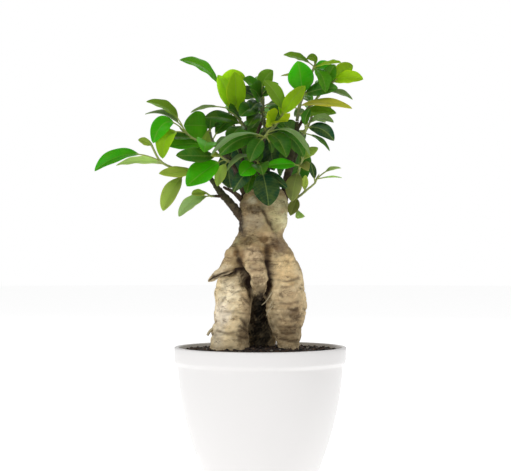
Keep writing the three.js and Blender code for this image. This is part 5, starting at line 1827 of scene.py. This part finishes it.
@dataclass
class Crown:
    """The leafy shoots: green stems with their leaves, settled clear of each other."""

    branches: tuple[Branch, ...]
    shoots: tuple[Shoot, ...]
    rule: SettlingRule = SettlingRule()
    lead: Row = (0.3, 2.5)
    stalk_radius: float = 0.52
    stalk_rows: int = 5
    blade_thickness: float = 0.5
    thinning: float = 0.45
    flat_from: float = 0.16
    least_half_width: float = 0.12
    blade_rows: int = 28
    upper: Row = (-1, -0.95, -0.8, -0.55, -0.26, -0.07, 0, 0.07, 0.26, 0.55, 0.8, 0.95, 1)
    lower: Row = (0.9, 0.62, 0.3, 0.08, 0, -0.08, -0.3, -0.62, -0.9)
    keel_round: float = 0.012
    swelling: float = 0.05
    edge_wave: float = 0.055
    groove_depth: float = 0.16
    groove_width: float = 0.6
    vein_gap: float = 3.4
    fewest_veins: float = 7
    hue_spread: float = 0.22
    darkest: float = 0.82
    brightness_spread: float = 0.46
    # painted shade within a leaf: a lengthwise gradient, a darker foot, a darker half, and a paler rim that
    # is partly the leaf's own margin and partly painted rim light
    lean_spread: float = 0.5
    foot_shade: float = 0.8
    half_spread: float = 0.16
    pale_margin_and_rim_light: Row = (0.5, 0.25, 0.05)
    stem_sides: int = 12
    stem_rows: int = 60
    knuckle: float = 0.22
    knuckle_width: float = 0.02
    stem_lump: float = 0.08
    bud: tuple[Row, Row] = ((1.02, 1.0, 0.85, 0.6, 0.3, 0.08), (0.5, 1.3, 2.4, 3.6, 4.6, 5.2))
    # shoots inside the crown whose stems are darkened as painted shade, and the least age they take
    shaded: tuple[str, ...] = ("top_mid", "left_back", "back_left", "back_mid", "back_right")
    shaded_age: float = 0.75

    def stem_points(self, shoot: Shoot) -> np.ndarray:
        """A stem's points: a short lead straight on from its branch, then its own.

        Args:
            shoot: the shoot.

        Returns:
            (n, 3) points.
        """
        wood = {b.name: b.knots() for b in self.branches}[shoot.branch]
        lead = wood[-1] + np.array(self.lead)[:, None] * unit(wood[-1] - wood[-2])
        return np.vstack([lead, np.array(shoot.stem, float)])

    @staticmethod
    def leaf_place(leaf: Leaf, points: np.ndarray) -> float:
        """A leaf's place from 0 to 1 along the stem's points, whose first stretch is the lead."""
        return (1 + leaf.at * (len(points) - 2)) / (len(points) - 1)

    def placed(self) -> list[PlacedLeaf]:
        """Every leaf in its settled place.

        Leaf by leaf, the shifts and rolls are tried in order. The first that stays the gap away from the
        branches, the stems and the leaves before it is kept, or else the one that comes nearest to it.

        Returns:
            The leaves in their order.
        """
        t = np.linspace(0, 1, 24)
        things = [
            (spline(b.knots(), t), b.root_radius + (b.end_radius - b.root_radius) * t, NO_OWNER)
            for b in self.branches]
        balls = [np.array([row], float) for row in self.rule.stumps]
        things += [(ball[:, :3], ball[:, 3], NO_OWNER) for ball in balls]
        leaves: list[PlacedLeaf] = []
        t = np.linspace(0, 1, 20)
        for k, shoot in enumerate(self.shoots):
            stem = self.stem_points(shoot)
            radius = shoot.root_radius + (shoot.end_radius - shoot.root_radius) * t
            things.append((spline(stem, t), radius, STEM_OWNER + k))
            for leaf in shoot.leaves:
                number = len(leaves) + 1
                root = spline(stem, np.array([self.leaf_place(leaf, stem)]))[0]
                fold, roll = 0.15 + 0.2 * draw(number, 1), 20 * (draw(number, 2) - 0.5)
                leaves.append(PlacedLeaf(leaf, number, k, root, fold, roll))
        sample_radius = np.repeat([0, self.stalk_radius], [SAMPLE_BLADE, len(SAMPLE_STALK)])
        settled = []
        for leaf in leaves:
            chosen, sample = self.settled(leaf, things)
            settled.append(chosen)
            things.append((sample, sample_radius, leaf.shoot))
        return settled

    def settled(
        self, leaf: PlacedLeaf, things: list[tuple[np.ndarray, np.ndarray, int]]
    ) -> tuple[PlacedLeaf, np.ndarray]:
        """One leaf moved clear of the things before it.

        Args:
            leaf: the leaf as read.
            things: for each thing its points, their radii, and its owner: the number of the shoot that a
                leaf is on, STEM_OWNER more for a stem, or NO_OWNER.

        Returns:
            The leaf in its place, and its sample points.
        """
        places = np.vstack([p for p, _, _ in things])
        radius = np.concatenate([r for _, r, _ in things])
        owner = np.concatenate([np.full(len(p), o) for p, _, o in things])
        number = np.arange(SAMPLE_BLADE + len(SAMPLE_STALK))
        best, most = (leaf, leaf.root[None]), -math.inf
        for shift, roll in self.rule.tries():
            trial = leaf.turned(shift, roll, self.rule)
            sample = trial.samples()
            middle = sample.mean(0)
            far = np.linalg.norm(sample - middle, axis=1).max() + self.rule.gap + 1
            near = np.linalg.norm(places - middle, axis=1) - radius < far
            clear = 99.0
            if near.any():
                stem = owner[near] == STEM_OWNER + leaf.shoot
                kin = stem | (owner[near] == leaf.shoot)
                away = np.linalg.norm(sample[:, None] - places[near][None], axis=2) - radius[near]
                away = away + np.where(kin, self.rule.kin, 0)
                away[np.ix_(number < SAMPLE_FOOT, stem)] = 99
                away[np.ix_(number >= SAMPLE_BLADE, kin)] = 99
                clear = float(away.min())
            if clear > most + 1e-9:
                best, most = (trial, sample), clear
            if clear >= self.rule.gap:
                return trial, sample
        return best

    def blade(self, placed: PlacedLeaf) -> Surface:
        """One leaf as a closed skin: a round stalk that flattens and widens into the blade.

        Across the blade at s from -1 to 1 the midrib's frame is moved s w aside and raised by the fold, a
        keel rounded at the rib, a slight swelling of each half and a wave that grows towards the edge.
        Half the thickness, (1 - |s|^p)^0.5 of it, goes to either side, with p from 2, round, to 8, flat.

        Args:
            placed: the leaf in its place.

        Returns:
            The surface with its values.
        """
        share = placed.stalk_share()
        stalk = np.linspace(0, share, self.stalk_rows, endpoint=False)
        along = np.linspace(0, 1, self.blade_rows) ** 0.92
        centre, side, up = placed.frame(np.concatenate([stalk, share + (1 - share) * along]))
        v = np.concatenate([np.zeros(self.stalk_rows), along])[:, None]
        s = np.array(self.upper + self.lower)
        top = np.repeat([1.0, -1.0], [len(self.upper), len(self.lower)])
        narrow = self.stalk_radius * (1 - smooth_step(v, 0, 0.5)) + self.least_half_width
        w = np.sqrt(placed.half_width(v) ** 2 + narrow**2)
        flat = smooth_step(v, 0, self.flat_from)
        thick = 2 * self.stalk_radius * (1 - flat) + self.blade_thickness * flat * (1 - self.thinning * v)
        keel = np.sqrt(s * s + self.keel_round) - math.sqrt(self.keel_round)
        start, other, turns, hue, bright, lean, halves = (draw(placed.number, k) for k in range(3, 10))
        wave = np.sin(TURN * (1.5 + 1.6 * turns) * v + 6.28 * np.where(s > 0, start, other))
        rise = w * (placed.fold * keel + self.swelling * np.sin(np.pi * np.abs(s)))
        rise = rise + self.edge_wave * w * np.abs(s) ** 2.5 * wave * flat
        groove = self.groove_depth * flat * bell(s * w / self.groove_width)
        ridge = np.where(top > 0, -groove, -1.6 * groove * (1 - 0.6 * v))
        half = 0.5 * thick * np.sqrt(np.maximum(1 - np.abs(s) ** (2 + 6 * flat), 0))
        height = rise + top * half + ridge
        rings = centre[:, None] + side[:, None] * (s * w)[..., None] + up[:, None] * height[..., None]
        shape = rings.shape[:2]
        veins = max(self.fewest_veins, placed.reach / self.vein_gap)
        hue = 1 + self.hue_spread * (hue - 0.5)
        tint = placed.leaf.tint.colour() * np.array([hue, 1, 2 - hue])
        tint = tint * (self.darkest + self.brightness_spread * bright)
        # painted light and shade within each leaf: a darker foot, a lighter or darker tip, one half darker
        # than the other, and a paler rim that is partly the leaf's own margin and partly painted rim light
        foot = self.foot_shade + (1 - self.foot_shade) * smooth_step(v, 0.03, 0.35)
        shade = foot * (1 + self.lean_spread * (lean - 0.5) * (2 * v - 1))
        shade = shade * (1 + self.half_spread * (2 * halves - 1) * np.tanh(5 * s))
        edge = 1 + smooth_step(np.abs(s), 0.86, 1)[:, None] * np.array(self.pale_margin_and_rim_light)
        return rings_closed(rings, {
            "tint": tint * shade[..., None] * edge,
            "glow": np.broadcast_to(placed.leaf.tint.glow() * flat, shape),
            "face": np.broadcast_to((top > 0).astype(float), shape),
            "rib": np.abs(s) * w,
            "vein": veins * (v - 0.16 * np.abs(s) ** 1.25 * w / max(w.max(), 1)) + 40,
            "stalk": np.broadcast_to(1 - smooth_step(v, 0.0, 0.08), shape),
        })

    def stem(self, shoot: Shoot) -> Surface:
        """A stem: a round loft with a knuckle at every leaf, drawn to a point like a sheathed bud.

        Args:
            shoot: the shoot.

        Returns:
            The surface, with age, held high on the shoots inside the crown as painted shade.
        """
        points = self.stem_points(shoot)
        t = np.linspace(0, 1, self.stem_rows)
        rows = with_radius(points, shoot.root_radius, shoot.end_radius)
        rings = limb_rings(rows, self.stem_rows, self.stem_sides)
        middle = rings.mean(1, keepdims=True)
        places = np.array([self.leaf_place(leaf, points) for leaf in shoot.leaves])
        scale = 1 + self.knuckle * bell((t[:, None] - places) / self.knuckle_width).max(1)[:, None]
        scale = scale + self.stem_lump * ripples(rings, 2.5, 61)
        rings = middle + (rings - middle) * scale[..., None]
        size, push = np.array(self.bud)[..., None, None]
        bud = points[-1] + unit(points[-1] - points[-2]) * push + (rings[-1] - middle[-1]) * size
        # painted shade: stems inside the crown keep a high age, so they stay dark
        painted_shade_floor = self.shaded_age if shoot.name in self.shaded else 0.0
        age = np.concatenate([np.maximum(1 - t, painted_shade_floor), np.full(len(bud), painted_shade_floor)])
        rings = np.concatenate([rings, bud])
        return rings_closed(rings, {"age": np.repeat(age[:, None], self.stem_sides, 1)})

    def build(self, leaf: FigLeaf, stem: GreenStem) -> None:
        """Settles the leaves, then makes and dresses the leaves and the stem of each shoot.

        Args:
            leaf: finish of the leaves.
            stem: finish of the stems.
        """
        leaf_finish, stem_finish = leaf.build(), stem.build()
        placed = self.placed()
        for k, shoot in enumerate(self.shoots):
            own = [self.blade(p) for p in placed if p.shoot == k]
            node = f"shoot_{shoot.name}"
            Surface.joined(own).piece(f"{node}_leaves", leaf_finish, node, "leaf")
            self.stem(shoot).piece(f"{node}_stem", stem_finish, node, "leaf")


@dataclass(frozen=True)
class Lamp:
    """A round soft lamp: its place, its width and its power in watts."""

    place: Row
    size: float
    power: float


@dataclass
class Studio:
    """A white floor, an even white surround, soft lamps and the camera."""

    camera_place: Row = (-4.19, -1450, 221.9)
    lens: float = 117.15
    sensor_width: float = 36
    clip_start_m: float = 0.05
    clip_end_m: float = 60
    floor_radii: Row = (1, 200, 900, 2500, 6000)
    floor_sides: int = 96
    floor_height: float = -0.2
    surround: float = 0.42
    lamps: tuple[Lamp, ...] = (
        Lamp((-1300, -1500, 1900), 1000, 21),
        Lamp((1500, -900, 1300), 1500, 4),
        Lamp((300, 1500, 1700), 1200, 12),
    )
    target: Row = (0, 0, 210)

    def floor(self, paint: StudioPaint) -> None:
        """A flat disc under the pot.

        Args:
            paint: its finish.
        """
        count, sides = len(self.floor_radii), self.floor_sides
        rings = turned_rings(np.array(self.floor_radii, float), np.full(count, self.floor_height), sides)
        mesh = bpy.data.meshes.new("studio_floor")
        faces = grid_faces(count, sides).tolist() + [list(range(sides))[::-1]]
        mesh.from_pydata((rings.reshape(-1, 3) * MM).tolist(), [], faces)
        mesh.materials.append(paint.build())
        add_object("studio_floor", mesh)

    def camera(self) -> None:
        """A level camera, square on to the plant from the front."""
        data = bpy.data.cameras.new("camera")
        data.lens = self.lens
        data.sensor_width = self.sensor_width
        data.clip_start = self.clip_start_m
        data.clip_end = self.clip_end_m
        obj = add_object("camera", data)
        obj.location = Vector(self.camera_place) * MM
        obj.rotation_euler = (math.pi / 2, 0, 0)
        bpy.context.scene.camera = obj

    def light(self) -> None:
        """Big soft lamps, and a white surround that is brighter to the eye than to the plant."""
        for k, lamp in enumerate(self.lamps):
            data = bpy.data.lights.new(f"lamp_{k}", "AREA")
            data.shape = "DISK"
            data.size = lamp.size * MM
            data.energy = lamp.power
            obj = add_object(f"lamp_{k}", data)
            obj.location = Vector(lamp.place) * MM
            way = Vector(self.target) * MM - obj.location
            obj.rotation_euler = way.to_track_quat("-Z", "Y").to_euler()
        world = bpy.data.worlds.new("white_surround")
        world.use_nodes = True
        world.node_tree.nodes.clear()
        add = partial(add_node, world.node_tree)
        seen = add("LightPath", output="Is Camera Ray")
        strength = add("MapRange", {0: seen, 3: self.surround, 4: 1.0})
        add("OutputWorld", {"Surface": add("Background", {"Color": WHITE, "Strength": strength})})
        bpy.context.scene.world = world
        bpy.context.scene.view_settings.view_transform = "Standard"

    def build(self, paint: StudioPaint) -> None:
        """Sets up camera, floor and lights.

        Args:
            paint: the floor's finish.
        """
        self.camera()
        self.floor(paint)
        self.light()


def main() -> None:
    """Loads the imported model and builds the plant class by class."""
    logging.basicConfig(level=logging.INFO, format="%(message)s")
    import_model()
    Studio().build(StudioPaint())
    pot = Pot()
    pot.build(GlazedStoneware())
    Soil(pot).build(PottingMix())
    bark = FicusBark("ficus_root_bark")
    # the branches' bark, with a darker colour for the painted shade in its hollows
    wood = FicusBark("ficus_branch_bark", crease="#241a12", chalk="#8f8468", roughness=0.8)
    Trunk(ROOTS, WOOD, PATCHES, CREASES, THREADS).build(bark, wood)
    Crown(WOOD, SHOOTS).build(FigLeaf(), GreenStem())


if __name__ == "__main__":
    main()
